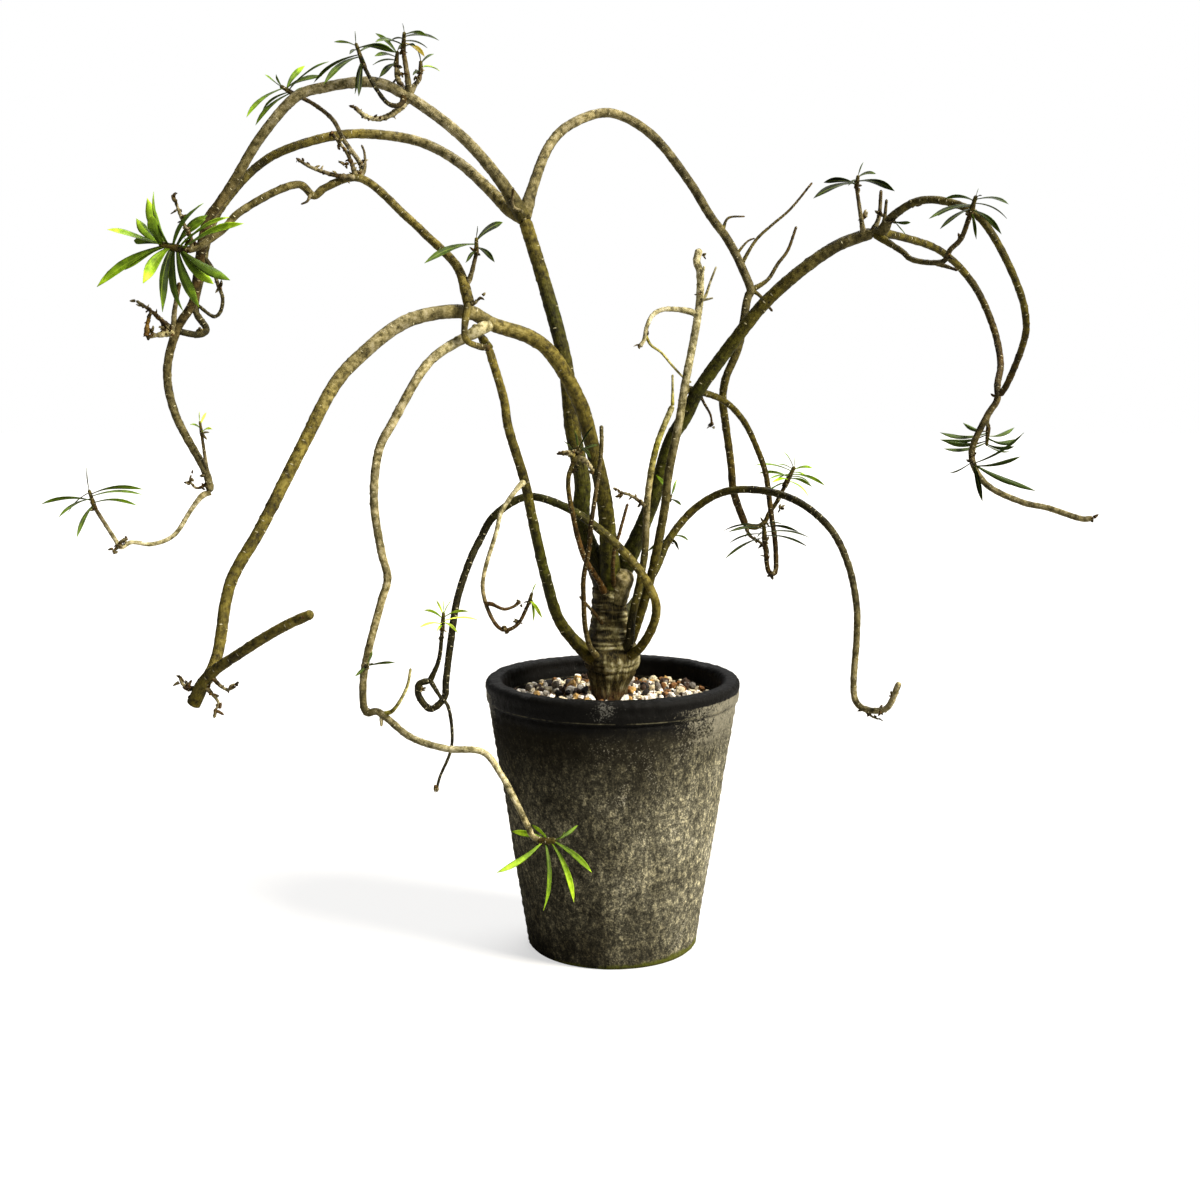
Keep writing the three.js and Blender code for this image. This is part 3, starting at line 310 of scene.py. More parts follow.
    # A faint pale line marks the band's foot, and a little moss grows where the foot stays damp.
    groove = add(tree, "Math", {0: height, 1: BAND_FOOT + 0.0024, 2: 0.0004}, operation="COMPARE")
    broken = add(tree, "MapRange", {0: mottle, 1: 0.42, 2: 0.6, 3: 0, 4: 0.5})
    faint = add(tree, "Math", {0: groove, 1: broken}, operation="MULTIPLY")
    lined = add(tree, "Mix", {0: faint, 6: worn_lip, 7: linear("#6f6a52")}, data_type="RGBA")
    low = add(tree, "MapRange", {0: height, 1: 0.0005, 2: 0.010, 3: 0.4, 4: -0.3})
    damp_side = add(tree, "MapRange", {0: aside, 1: -0.05, 2: 0.05, 3: -0.14, 4: 0.1})
    damp = total((low, 1), (damp_side, 1), (cloud, 0.5), (mottle, 0.6), (flake, 0.5))
    moss = add(tree, "MapRange", {0: damp, 1: 0.91, 2: 1.06, 3: 0, 4: 0.85})
    mossy = add(tree, "Mix", {0: moss, 6: lined, 7: linear("#474a10")}, data_type="RGBA")
    tree.links.new(mossy.outputs[2], shader.inputs["Base Color"])
    satin = add(tree, "Math", {0: rim, 1: -0.38, 2: 0.95}, operation="MULTIPLY_ADD")
    tree.links.new(satin.outputs[0], shader.inputs["Roughness"])
    shader.inputs["Specular IOR Level"].default_value = 0.08
    fine = add(tree, "Bump", {"Height": grit, "Strength": 0.6, "Distance": 0.0009})
    coarse = add(tree, "Bump", {"Height": flake, "Strength": 0.5, "Distance": 0.0012, "Normal": fine})
    tree.links.new(coarse.outputs[0], shader.inputs["Normal"])
    return finish


piece_of(make_pot(), "clay_pot", smoked_clay(), "pot_clay", "pot")


# Inside the pot
# A round plastic net keeps the drain holes clear, coarse pumice lies on it, and dark gritty potting
# mix fills the pot up to the dressing. They keep their solids and only get their finishes here.


def crumbly(name, stops, crumb, relief):
    """A loose granular fill: coloured crumbs of one width in millimetres, with a rough surface."""
    finish, tree, shader = new_finish(name)
    place = add(tree, "TexCoord").outputs["Object"]
    crumbs = add(tree, "TexVoronoi", {"Vector": place, "Scale": per_metre(crumb)})
    tint = add(tree, "ValToRGB", {0: crumbs.outputs["Color"]}, stops=stops)
    tree.links.new(tint.outputs[0], shader.inputs["Base Color"])
    shader.inputs["Roughness"].default_value = 0.95
    bump = add(tree, "Bump", {"Height": crumbs.outputs["Distance"], "Strength": 0.8, "Distance": relief})
    tree.links.new(bump.outputs[0], shader.inputs["Normal"])
    return finish


def refinish(node, finish):
    """Gives a CAD node that stays its own finish."""
    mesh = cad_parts[node].data
    mesh.materials.clear()
    mesh.materials.append(finish)


net_plastic, net_tree, net_shader = new_finish("moulded_polypropylene")
net_shader.inputs["Base Color"].default_value = linear("#20241f")
net_shader.inputs["Roughness"].default_value = 0.5
net_place = add(net_tree, "TexCoord").outputs["Object"]
net_grain = add(net_tree, "TexNoise", {"Vector": net_place, "Scale": per_metre(1.1)})
net_bump = add(net_tree, "Bump", {"Height": net_grain, "Strength": 0.2, "Distance": 0.0003})
net_tree.links.new(net_bump.outputs[0], net_shader.inputs["Normal"])
refinish("drain_net", net_plastic)
refinish("drainage_stones", crumbly("coarse_pumice", [(0.2, "#8f7f63"), (0.8, "#d8ccb2")], 9, 0.003))
refinish("potting_mix", crumbly("potting_mix", [(0.2, "#20160e"), (0.8, "#6a5236")], 2.4, 0.001))


# Pumice dressing
# Loose grains of pumice and baked clay, 4 to 9 mm across, washed and poured round the trunk: cream
# white, ochre and gold ones with some brown and grey, lying on the grit that sifted down below them.
# The grit is coloured near black, partly as painted shade in the gaps between the grains.

DRESSING_FOOT = 171.3
DRESSING_TOP = 180
DRESSING_RADIUS = 75.2
TRUNK_ROOM = 12.5
TRUNK_MIDDLE = Vector((-2, 0))
GRAIN_SPACING = 4.5
ROW_SPACING = GRAIN_SPACING * 0.866
GRAIN_JITTER = 1.6
GRAIN_SIZES = (1.7, 3.3)
GRAIN_SINK = 1.6
GRAIN_HEIGHTS = (-1.5, 1.1)
BED_WAVE, BED_WAVE_LENGTH = 1.4, 16
TOP_GRAINS = 210
TOP_GRAIN_SIZES = (2.0, 4.3)
TOP_GRAIN_LIFT = 1.6
DRESSING_SEED = 11
PIT_WIDTH = 1.1
GRAIN_TINTS = [(0.0, "#f4ecdc"), (0.34, "#d8caa8"), (0.52, "#b48f4f"), (0.61, "#7d5427"),
               (0.72, "#3a2715"), (0.84, "#1b140d"), (0.94, "#6b655b")]


def grain(bm, tints, centre, size, rng):
    """One angular grain at a place, of a size, with a tint of its own."""
    squash = Vector([rng.uniform(0.7, 1.15) for _ in range(3)]) * size * MM
    squash.z *= 0.85
    angle = rng.uniform(0, math.tau)
    turn = Matrix.Rotation(angle, 4, Vector((rng.uniform(-1, 1), rng.uniform(-1, 1), 1)))
    cube = bmesh.ops.create_cube(bm, size=1.5)
    edges = {e for v in cube["verts"] for e in v.link_edges}
    made = bmesh.ops.bevel(bm, geom=list(edges), offset=0.4, offset_type="OFFSET", affect="EDGES",
                           segments=1, profile=0.5, material=-1)
    salt = Vector([rng.uniform(0, 90) for _ in range(3)])
    tint = rng.random()
    for v in made["verts"]:
        facet = 1 + 0.5 * noise.noise(v.co * 1.1 + salt)
        shaped = Vector([a * b * facet for a, b in zip(v.co, squash)])
        v.co = turn @ shaped + centre
        v[tints] = tint


def make_dressing():
    """Lays the grains on a jittered hexagonal grid, then scatters bigger ones on top."""
    rng = random.Random(DRESSING_SEED)
    bm = bmesh.new()
    tints = bm.verts.layers.float.new("tint")
    rows = round(DRESSING_RADIUS / ROW_SPACING)
    for row in range(-rows, rows + 1):
        for column in range(-rows - 2, rows + 3):
            x = (column + 0.5 * (row % 2)) * GRAIN_SPACING + rng.uniform(-GRAIN_JITTER, GRAIN_JITTER)
            y = row * ROW_SPACING + rng.uniform(-GRAIN_JITTER, GRAIN_JITTER)
            size = rng.uniform(*GRAIN_SIZES)
            wave = BED_WAVE * noise.noise(Vector((x, y, 0)) / BED_WAVE_LENGTH)
            z = DRESSING_TOP - GRAIN_SINK + wave + rng.uniform(*GRAIN_HEIGHTS)
            lay(bm, tints, Vector((x, y, z)), size, rng)
    for _ in range(TOP_GRAINS):
        out = DRESSING_RADIUS * math.sqrt(rng.random())
        turn = rng.uniform(0, math.tau)
        size = rng.uniform(*TOP_GRAIN_SIZES)
        place = Vector((out * math.cos(turn), out * math.sin(turn), DRESSING_TOP + TOP_GRAIN_LIFT))
        lay(bm, tints, place, size, rng)
    return bm


def lay(bm, tints, place, size, rng):
    """Lays a grain where the pot and the trunk leave room for it."""
    inside = place.xy.length + size < DRESSING_RADIUS
    if inside and (place.xy - TRUNK_MIDDLE).length > TRUNK_ROOM + size * 0.6:
        grain(bm, tints, place * MM, size, rng)


def make_bed():
    """The sifted grit under the grains: a low ring round the trunk."""
    bm = bmesh.new()
    outline = [(TRUNK_ROOM - 1, DRESSING_FOOT), (DRESSING_RADIUS - 1.2, DRESSING_FOOT),
               (DRESSING_RADIUS, DRESSING_TOP - 3), (TRUNK_ROOM - 1, DRESSING_TOP - 3)]
    ring = [bm.verts.new((r * MM, 0, z * MM)) for r, z in outline]
    sides = [bm.edges.new((ring[i - 1], ring[i])) for i in range(4)]
    bmesh.ops.spin(bm, geom=ring + sides, cent=(0, 0, 0), axis=(0, 0, 1), dvec=(0, 0, 0),
                   angle=math.tau, steps=96, use_merge=True)
    bmesh.ops.recalc_face_normals(bm, faces=bm.faces)
    for v in bm.verts:
        v.co.x += TRUNK_MIDDLE.x * MM * (1 - v.co.xy.length / (DRESSING_RADIUS * MM))
    return bm


def pumice():
    """Washed pumice and baked clay grains: dry and chalky, each of one tint, pitted with fine holes."""
    finish, tree, shader = new_finish("washed_pumice")
    tint = add(tree, "Attribute", attribute_name="tint")
    colour = add(tree, "ValToRGB", {0: tint.outputs["Fac"]}, stops=GRAIN_TINTS)
    colour.color_ramp.interpolation = "CONSTANT"
    place = add(tree, "TexCoord").outputs["Object"]
    pits = add(tree, "TexNoise", {
        "Vector": place, "Scale": per_metre(PIT_WIDTH), "Detail": 4, "Roughness": 0.7})
    # Painted shade: the pits, the low places of the same pattern that the bump follows, are darkened in
    # the colour.
    dust = add(tree, "ValToRGB", {0: pits}, stops=[(0.36, "#5b4a35"), (0.52, "#ffffff")])
    mixed = add(tree, "Mix", {0: 0.7, 6: colour, 7: dust}, data_type="RGBA", blend_type="MULTIPLY")
    tree.links.new(mixed.outputs[2], shader.inputs["Base Color"])
    shader.inputs["Roughness"].default_value = 0.92
    bump = add(tree, "Bump", {"Height": pits, "Strength": 0.7, "Distance": 0.0007})
    tree.links.new(bump.outputs[0], shader.inputs["Normal"])
    return finish


grains = piece_of(make_dressing(), "pumice_grains", pumice(), "dressing_pumice", "top_dressing")
grains.data.shade_flat()
# The grit's near-black colour is partly painted shade in the gaps between the grains.
sifted = crumbly("sifted_grit_and_gap_shade", [(0.2, "#150d07"), (0.8, "#3a2b19")], 1.4, 0.0008)
piece_of(make_bed(), "sifted_bed_and_gap_shade", sifted, "dressing_pumice", "top_dressing")


# Bark
# Every stem is a living branch with a thin smooth bark: green wood while young, ochre to grey when
# older. Each fallen leaf left a pale crosswise scar, and the scars climb the stem in a spiral.

BARK_STEP = 0.8
SCAR_COLUMNS = 5
SCAR_STAGGER = 0.4
SCAR_PITCH = 2.15
SHORTEST_PITCH = 3.2
SCAR_RELIEF = 0.3
DRY_KNOBS, THIN_KNOBS, THICK_KNOBS = 0.22, 0.13, 0.05
DRY_WARP, LIVING_WARP, WARP_LENGTH = 0.16, 0.055, 2.6
RIDGE_PITCH, RIDGE_RELIEF = 2.7, 0.08
PATCH_LENGTH = 14
PATCH_SHADE, RIDGE_SHADE, BAND_SHADE = 0.4, 0.3, 0.45
FOOT_SWELL, FOOT_FLARE, FOOT_FADE = 0.3, 0.9, 3.2
KNOB_LENGTH = 1.7
THIN_RELIEF = 0.14
# A bar has more sides the thicker it is: the least radius of each count, in millimetres.
BAR_SIDES = ((3.8, 18), (1.8, 14), (0, 9))
SCAR_WIDEST = 0.38
SCAR_TALLEST = 0.07
CHANCE_THIN, CHANCE_THICK = 0.5, 0.2
THIN_STEM, THICK_STEM, TRUNK_GIRTH = 2.2, 6, 9
FLECK_WIDTH = 1
BLOTCH_WIDTH = 4.2
SALTS = (2.17, 1.31, 9.7)
BARKS = {
    "green": "#3f410a", "olive": "#544c16", "ochre": "#7c7035", "pale": "#a59a78", "cream": "#cfc7a8",
    "grey": "#686041", "brown": "#463413", "dark": "#26230b", "yellow": "#aba545", "rust": "#5c4220",
    "straw": "#ddd6a4", "sand": "#999074", "gold": "#9a7734",
}


def bend(a, b, c, d, share):
    """A place on the smooth curve from b to c, which the points before and after them steer."""
    before, span, after = [math.sqrt((q - p).length) for p, q in ((a, b), (b, c), (c, d))]
    leave = ((b - a) / before - (c - a) / (before + span) + (c - b) / span) * span
    reach = ((c - b) / span - (d - b) / (span + after) + (d - c) / after) * span
    square = share * share
    cube = square * share
    start = b * (2 * cube - 3 * square + 1) + leave * (cube - 2 * square + share)
    return start + c * (3 * square - 2 * cube) + reach * (cube - square)


def walk(route, step):
    """Evenly spaced places along the smooth curve through a route's points, in millimetres."""
    inner = [Vector(p) for p in route]
    points = [2 * inner[0] - inner[1], *inner, 2 * inner[-1] - inner[-2]]
    fine = [inner[0]]
    for a, b, c, d in zip(points, points[1:], points[2:], points[3:]):
        count = max(3, round((c - b).length / (step / 3)))
        fine += [bend(a, b, c, d, (i + 1) / count) for i in range(count)]
    length = sum((q - p).length for p, q in zip(fine, fine[1:]))
    gap = length / max(3, round(length / step))
    places = [fine[0]]
    gone = 0
    for p, q in zip(fine, fine[1:]):
        piece = (q - p).length
        while gone + piece >= gap * len(places):
            places.append(p.lerp(q, (gap * len(places) - gone) / piece))
        gone += piece
    if (places[-1] - fine[-1]).length > gap / 2:
        places.append(fine[-1])
    return places


def marked(*names):
    """A bmesh whose corners carry these marks for a material to read."""
    bm = bmesh.new()
    for name in names:
        bm.verts.layers.float.new(name)
    return bm


def new_bark():
    """A bmesh with the marks that a bark material reads: where a corner lies round and along the stem, and
    the bark's colour there, with painted light and shade on the trunk's and dry twigs' relief."""
    bm = bmesh.new()
    bm.verts.layers.float_vector.new("spiral")
    bm.verts.layers.float_color.new("bark")
    return bm


def round_bar(bm, sides, rows):
    """Makes a straight round bar of radius 1 in an empty bmesh, cut into rows of height 1."""
    bmesh.ops.create_cone(bm, cap_ends=True, segments=sides, radius1=1, radius2=1, depth=rows)
    long = [e for e in bm.edges if abs(e.verts[0].co.z - e.verts[1].co.z) > 0.5]
    bmesh.ops.subdivide_edges(bm, edges=long, cuts=rows - 1, use_grid_fill=True)


def join(whole, part):
    """Adds a finished part, with its marks, to the whole."""
    mesh = bpy.data.meshes.new("part")
    part.to_mesh(mesh)
    part.free()
    whole.from_mesh(mesh)
    bpy.data.meshes.remove(mesh)


def bent_bar(places, sides, skin):
    """Bends a bark-covered bar along places. skin gives a corner's radius, climb and colour by its row
    and its angle round the stem."""
    bm = new_bark()
    rows = len(places) - 1
    round_bar(bm, sides, rows)
    frames = []
    ahead = (places[1] - places[0]).normalized()
    across = ahead.orthogonal().normalized()
    for i, place in enumerate(places):
        tangent = (places[min(i + 1, rows)] - places[max(i - 1, 0)]).normalized()
        across = ahead.rotation_difference(tangent) @ across
        ahead = tangent
        frames.append((place, across, tangent.cross(across)))
    spiral = bm.verts.layers.float_vector["spiral"]
    tints = bm.verts.layers.float_color["bark"]
    for v in bm.verts:
        row = round(v.co.z + rows / 2)
        angle = math.atan2(v.co.y, v.co.x)
        place, side, up = frames[row]
        radius, girth, climb, v[tints] = skin(row, angle)
        v[spiral] = Vector((math.cos(angle) * girth, math.sin(angle) * girth, climb))
        v.co = (place + (side * math.cos(angle) + up * math.sin(angle)) * radius) * MM
    return bm


def spread(names, share):
    """The colour at a share of the way along evenly spread bark colours."""
    place = share * (len(names) - 1)
    first = min(int(place), len(names) - 2) if len(names) > 1 else 0
    start = Vector(linear(BARKS[names[first]]))
    end = Vector(linear(BARKS[names[min(first + 1, len(names) - 1)]]))
    return start.lerp(end, place - first)


def ramp(value, low, high, start, end):
    """A value's share of the way from low to high, as a number from start to end."""
    return start + (end - start) * min(1, max(0, (value - low) / (high - low)))


def scar_swell(angle, climb, girth):
    """How far the bark swells at a leaf scar. The finish draws the scars on this same lattice."""
    round_turn = angle / math.tau * SCAR_COLUMNS + SCAR_COLUMNS / 2
    column = math.floor(round_turn)
    rise = climb + column * SCAR_STAGGER
    row = math.floor(rise)
    salt = math.sin(column * SALTS[0] + row * SALTS[1]) * SALTS[2] % 1
    if salt > ramp(girth, THIN_STEM, THICK_STEM, CHANCE_THIN, CHANCE_THICK) or girth > TRUNK_GIRTH:
        return 0
    aside = (round_turn % 1 - 0.5 - (salt - 0.5) * 0.3) / SCAR_WIDEST
    ahead = (rise % 1 - 0.5 - (salt * 7 % 1 - 0.5) * 0.5) / (SCAR_TALLEST * 1.6)
    return max(0, 1 - aside * aside - ahead * ahead)


def grown(kind, start, end, route, colours, seed, step=BARK_STEP, sides=None):
    """One stem or twig: its taper, its swollen foot, its knobs, its leaf scars and its tip. A dry one has
    crosswise ridges and no scars."""
    places = walk(route, step)
    rows = len(places) - 1
    length = rows * step
    dry = kind == "dry"
    radii = []
    climb = [seed * 8]
    for i in range(rows + 1):
        gone = i * step
        radius = start + (end - start) * i / rows
        knobs = DRY_KNOBS if dry else ramp(radius, 1, 4, THIN_KNOBS, THICK_KNOBS)
        radius *= 1 + min(FOOT_SWELL, FOOT_FLARE * math.exp(-gone / (FOOT_FADE * start)))
        radius *= 1 + knobs * noise.noise(Vector((gone / (KNOB_LENGTH * radius + 1), seed, 0)))
        left = length - gone
        if left < end:
            radius *= math.sqrt(max(0.05, 1 - (1 - left / end) ** 2))
        radii.append(radius)
        climb.append(climb[-1] + step / max(SHORTEST_PITCH, SCAR_PITCH * radius))
    shades = [spread(colours, i / rows) for i in range(rows + 1)]
    relief = min(SCAR_RELIEF, THIN_RELIEF * start)

    def skin(row, angle):
        girth = radii[row]
        gone = row * step
        aside, up = math.cos(angle), math.sin(angle)
        uneven = noise.noise(Vector((aside * 1.3, up * 1.3, gone / WARP_LENGTH + seed * 7)))
        patch = noise.noise(Vector((aside * 0.7 + seed, up * 0.7, gone / PATCH_LENGTH)))
        if dry:
            # A dry twig is coloured lighter on each ridge and darker in each groove, in step with its
            # relief: painted light and shade.
            ridge = math.sin(gone * math.tau / RIDGE_PITCH + 3 * patch)
            shade = shades[row] * (1 + PATCH_SHADE * patch + RIDGE_SHADE * ridge)
            return girth * (1 + DRY_WARP * uneven + RIDGE_RELIEF * ridge), 0, climb[row], shade
        band = noise.noise(Vector((seed, 3.3, climb[row] * 0.9)))
        swell = relief * scar_swell(angle, climb[row], girth)
        shade = shades[row] * (1 + PATCH_SHADE * patch + BAND_SHADE * band)
        return girth * (1 + LIVING_WARP * uneven) + swell, girth, climb[row], shade

    if not sides:
        sides = next(count for least, count in BAR_SIDES if start > least)
    return bent_bar(places, sides, skin)


def living_bark(name, dust, ridges):
    """Thin smooth bark of a living stem: waxy, mottled green to ochre, with cream leaf scars. Old bark has
    more grey dust and higher ridges."""
    finish, tree, shader = new_finish(name)
    place = add(tree, "TexCoord").outputs["Object"]
    spiral = add(tree, "Attribute", attribute_name="spiral").outputs["Vector"]
    flat = add(tree, "VectorMath", {0: spiral, 1: (1, 1, 0)}, operation="MULTIPLY")
    girth = add(tree, "VectorMath", {0: flat}, operation="LENGTH")
    apart = add(tree, "SeparateXYZ", {0: spiral})

    # Which cell of the scars' lattice this is: its column round the stem, its row and its own salt.
    angle = add(tree, "Math", {0: apart.outputs["Y"], 1: apart.outputs["X"]}, operation="ARCTAN2")
    turned = add(tree, "Math", {0: angle, 1: SCAR_COLUMNS / math.tau, 2: SCAR_COLUMNS / 2},
                 operation="MULTIPLY_ADD")
    column = add(tree, "Math", {0: turned}, operation="FLOOR")
    rise = add(tree, "Math", {0: column, 1: SCAR_STAGGER, 2: apart.outputs["Z"]}, operation="MULTIPLY_ADD")
    row = add(tree, "Math", {0: rise}, operation="FLOOR")
    row_salt = add(tree, "Math", {0: row, 1: SALTS[1]}, operation="MULTIPLY")
    mixed = add(tree, "Math", {0: column, 1: SALTS[0], 2: row_salt}, operation="MULTIPLY_ADD")
    wave = add(tree, "Math", {0: mixed}, operation="SINE")
    long_salt = add(tree, "Math", {0: wave, 1: SALTS[2]}, operation="MULTIPLY")
    salt = add(tree, "Math", {0: long_salt}, operation="FRACT")
    seven_salts = add(tree, "Math", {0: salt, 1: 7}, operation="MULTIPLY")
    second_salt = add(tree, "Math", {0: seven_salts}, operation="FRACT")

    # How far this point is from the middle of the cell's scar, in the scar's own widths and heights.
    in_column = add(tree, "Math", {0: turned}, operation="FRACT")
    in_row = add(tree, "Math", {0: rise}, operation="FRACT")
    middle = add(tree, "MapRange", {0: salt, 1: 0, 2: 1, 3: 0.35, 4: 0.65})
    level = add(tree, "MapRange", {0: second_salt, 1: 0, 2: 1, 3: 0.25, 4: 0.75})
    aside = add(tree, "Math", {0: in_column, 1: middle}, operation="SUBTRACT")
    ahead = add(tree, "Math", {0: in_row, 1: level}, operation="SUBTRACT")
    thin = add(tree, "Math", {0: 1, 1: girth}, operation="DIVIDE")
    wide = add(tree, "MapRange", {0: thin, 1: 0, 2: 0.55, 3: 0.12, 4: SCAR_WIDEST})
    tall = add(tree, "MapRange", {0: thin, 1: 0, 2: 0.58, 3: 0.02, 4: SCAR_TALLEST})
    in_widths = add(tree, "Math", {0: aside, 1: wide}, operation="DIVIDE")
    in_heights = add(tree, "Math", {0: ahead, 1: tall}, operation="DIVIDE")
    apart_by = add(tree, "CombineXYZ", {0: in_widths, 1: in_heights})
    far = add(tree, "VectorMath", {0: apart_by}, operation="LENGTH")
    fleck = add(tree, "TexNoise", {
        "Vector": place, "Scale": per_metre(FLECK_WIDTH), "Detail": 3, "Roughness": 0.6})
    ragged = add(tree, "Math", {0: fleck, 1: 1.6, 2: far}, operation="MULTIPLY_ADD")
    chance = add(tree, "MapRange", {
        0: girth, 1: THIN_STEM, 2: THICK_STEM, 3: CHANCE_THIN, 4: CHANCE_THICK})
    kept = add(tree, "Math", {0: salt, 1: chance}, operation="LESS_THAN")
    slim = add(tree, "MapRange", {0: girth, 1: TRUNK_GIRTH, 2: TRUNK_GIRTH - 1, 3: 0, 4: 1})
    there = add(tree, "Math", {0: kept, 1: slim}, operation="MULTIPLY")

    # The bark's own colour, mottled, dusted in long streaks and flecked.
    bark = add(tree, "Attribute", attribute_name="bark")
    blotch = add(tree, "TexNoise", {
        "Vector": place, "Scale": per_metre(BLOTCH_WIDTH), "Detail": 6, "Roughness": 0.68})
    shade = add(tree, "ValToRGB", {0: blotch}, stops=[
        (0.34, "#58543a"), (0.45, "#a39f80"), (0.54, "#dedac2"), (0.64, "#ffffff")])
    mottled = add(tree, "Mix", {0: 1, 6: bark.outputs["Color"], 7: shade},
                  data_type="RGBA", blend_type="MULTIPLY")
    streaky = add(tree, "VectorMath", {0: spiral, 1: (1.1, 1.1, 0.9)}, operation="MULTIPLY")
    streak = add(tree, "TexNoise", {"Vector": streaky, "Scale": 1.3, "Detail": 5, "Roughness": 0.65})
    dusty = add(tree, "MapRange", {0: streak, 1: 0.5, 2: 0.68, 3: 0, 4: dust})
    dusted = add(tree, "Mix", {0: dusty, 6: mottled, 7: linear("#958853")}, data_type="RGBA")
    flecks = add(tree, "MapRange", {0: fleck, 1: 0.62, 2: 0.74, 3: 0, 4: 0.24})
    flecked = add(tree, "Mix", {0: flecks, 6: dusted, 7: linear("#b8ab72")}, data_type="RGBA")

    # Each scar is a cream dash in a thin dark ring of painted shade round its raised rim.
    scar_rim_shade = add(tree, "MapRange", {0: ragged, 1: 2.6, 2: 2.0, 3: 0, 4: 0.5})
    ring = add(tree, "Math", {0: scar_rim_shade, 1: there}, operation="MULTIPLY")
    shade_ringed = add(tree, "Mix", {0: ring, 6: flecked, 7: linear("#1d190a")}, data_type="RGBA")
    bold = add(tree, "MapRange", {0: second_salt, 1: 0, 2: 1, 3: 0.2, 4: 0.85})
    core = add(tree, "MapRange", {0: ragged, 1: 1.95, 2: 1.4, 3: 0, 4: 1})
    strong = add(tree, "Math", {0: core, 1: bold}, operation="MULTIPLY")
    drawn = add(tree, "Math", {0: strong, 1: there}, operation="MULTIPLY")
    scarred = add(tree, "Mix", {0: drawn, 6: shade_ringed, 7: linear("#d6cca0")}, data_type="RGBA")
    tree.links.new(scarred.outputs[2], shader.inputs["Base Color"])
    shader.inputs["Roughness"].default_value = 0.52
    shader.inputs["Specular IOR Level"].default_value = 0.09
    fine = add(tree, "Bump", {"Height": fleck, "Strength": 0.45, "Distance": 0.0006})
    ridged = add(tree, "Bump", {"Height": streak, "Strength": 0.8, "Distance": ridges, "Normal": fine})
    tree.links.new(ridged.outputs[0], shader.inputs["Normal"])
    return finish


bark_finish = living_bark("living_bark", 0.1, 0.001)


# Trunk
# Short and swollen like a bottle: it widens from the soil to a collar where the lowest stems leave,
# with creased rings there, fine fibres below and a knobbly neck above. A taproot holds it in the mix.

TRUNK = [
    (-1, 0, 62, 3), (-2, 1, 90, 6), (-1, 0, 130, 9), (-2, 0, 168, 11.5), (-2, 0, 186, 13),
    (-1.5, 0, 199, 17), (-1.5, 0, 209, 20), (-2, 0, 219, 17.5), (-2.5, 0, 230, 13.5), (-2.5, 0, 246, 12),
    (-2.5, 0, 258, 11.5), (-2.5, 0, 264, 8),
]
TRUNK_TWIGS = [
    ("twig", 1.4, 0.9, [
        (-5, -8, 231), (-12, -18, 242), (-23, -25, 256)
    ]),
    ("dry", 1.6, 1.0, [
        (1, -8, 258), (0, -20, 274), (1, -22, 288), (4, -23, 298), (10, -24, 320)
    ]),
]
PRUNED_LIMB = [(2, -3, 250), (6, -6, 262), (9, -9, 272)]
LIMB_RADII = (6.4, 5.6)
CUT_RINGS = 7
CUT_WAVE, CUT_RISE = 2.4, 0.35
CUT_SHADES = ("#4f432c", "#b5a988")
TRUNK_SIDES = 120
COLLAR_CREASES = (200, 205.5, 210.5, 215)
CREASE_DEPTH = 1.3
CREASE_HEIGHT = 0.8
CREASE_WAVE = 2.2
SHOULDERS = [(-9, -6, 206), (2, -6, 205), (2, -8, 211), (8, 4, 212), (-7, -10, 208), (4, 8, 233),
             (3, -11, 235)]
SHOULDER_SWELL = 1.8
TRUNK_WARP = 1.1
FIBRE_RELIEF = 0.55
RING_RELIEF, KNOB_RELIEF = 0.85, 0.9
FIBRES = (198, 208)
NECK = (209, 218)
SOIL_LINE = (190, 183)
TOP_ROUND = 6
LIMB_SEED, TRUNK_TWIG_SEED = 69, 70
TRUNK_SHADES = ("#0e0a03", "#453b1c", "#cbc4a2")
SOIL_SHADE = "#432a17"


def trunk_girth(height):
    """The trunk's radius at a height, smoothly between the measured ones."""
    for (_, _, low, small), (_, _, high, wide) in zip(TRUNK, TRUNK[1:]):
        if height <= high:
            share = min(1, max(0, (height - low) / (high - low)))
            share = share * share * (3 - 2 * share) * 0.5 + share * 0.5
            return small + (wide - small) * share
    return TRUNK[-1][3]


def cut_face(centre, facing, radius):
    """The healed cut of a pruned limb: a low pale cushion of wood in shrinking rings."""
    bm = new_bark()
    profile = [(radius * (1 - i / CUT_RINGS), 0.9 * math.sin(i * CUT_WAVE) + CUT_RISE * i)
               for i in range(CUT_RINGS)]
    ring = [bm.verts.new((r, 0, h)) for r, h in [(radius, -1.6), *profile, (0.01, CUT_RISE * CUT_RINGS)]]
    sides = [bm.edges.new(pair) for pair in zip(ring, ring[1:])]
    bmesh.ops.spin(bm, geom=ring + sides, cent=(0, 0, 0), axis=(0, 0, 1), dvec=(0, 0, 0),
                   angle=math.tau, steps=28, use_merge=True)
    bmesh.ops.remove_doubles(bm, verts=bm.verts, dist=0.05)
    tints = bm.verts.layers.float_color["bark"]
    low, high = [Vector(linear(code)) for code in CUT_SHADES]
    turn = Vector((0, 0, 1)).rotation_difference(facing).to_matrix()
    for v in bm.verts:
        wavy = 1 + 0.1 * noise.noise(v.co / 3)
        dip = 0.5 + 0.5 * math.sin(v.co.xy.length / radius * CUT_RINGS * CUT_WAVE)
        v[tints] = low.lerp(high, dip)
        v.co = (turn @ Vector((v.co.x * wavy, v.co.y * wavy * 0.9, v.co.z)) + centre) * MM
    bmesh.ops.recalc_face_normals(bm, faces=bm.faces)
    return bm


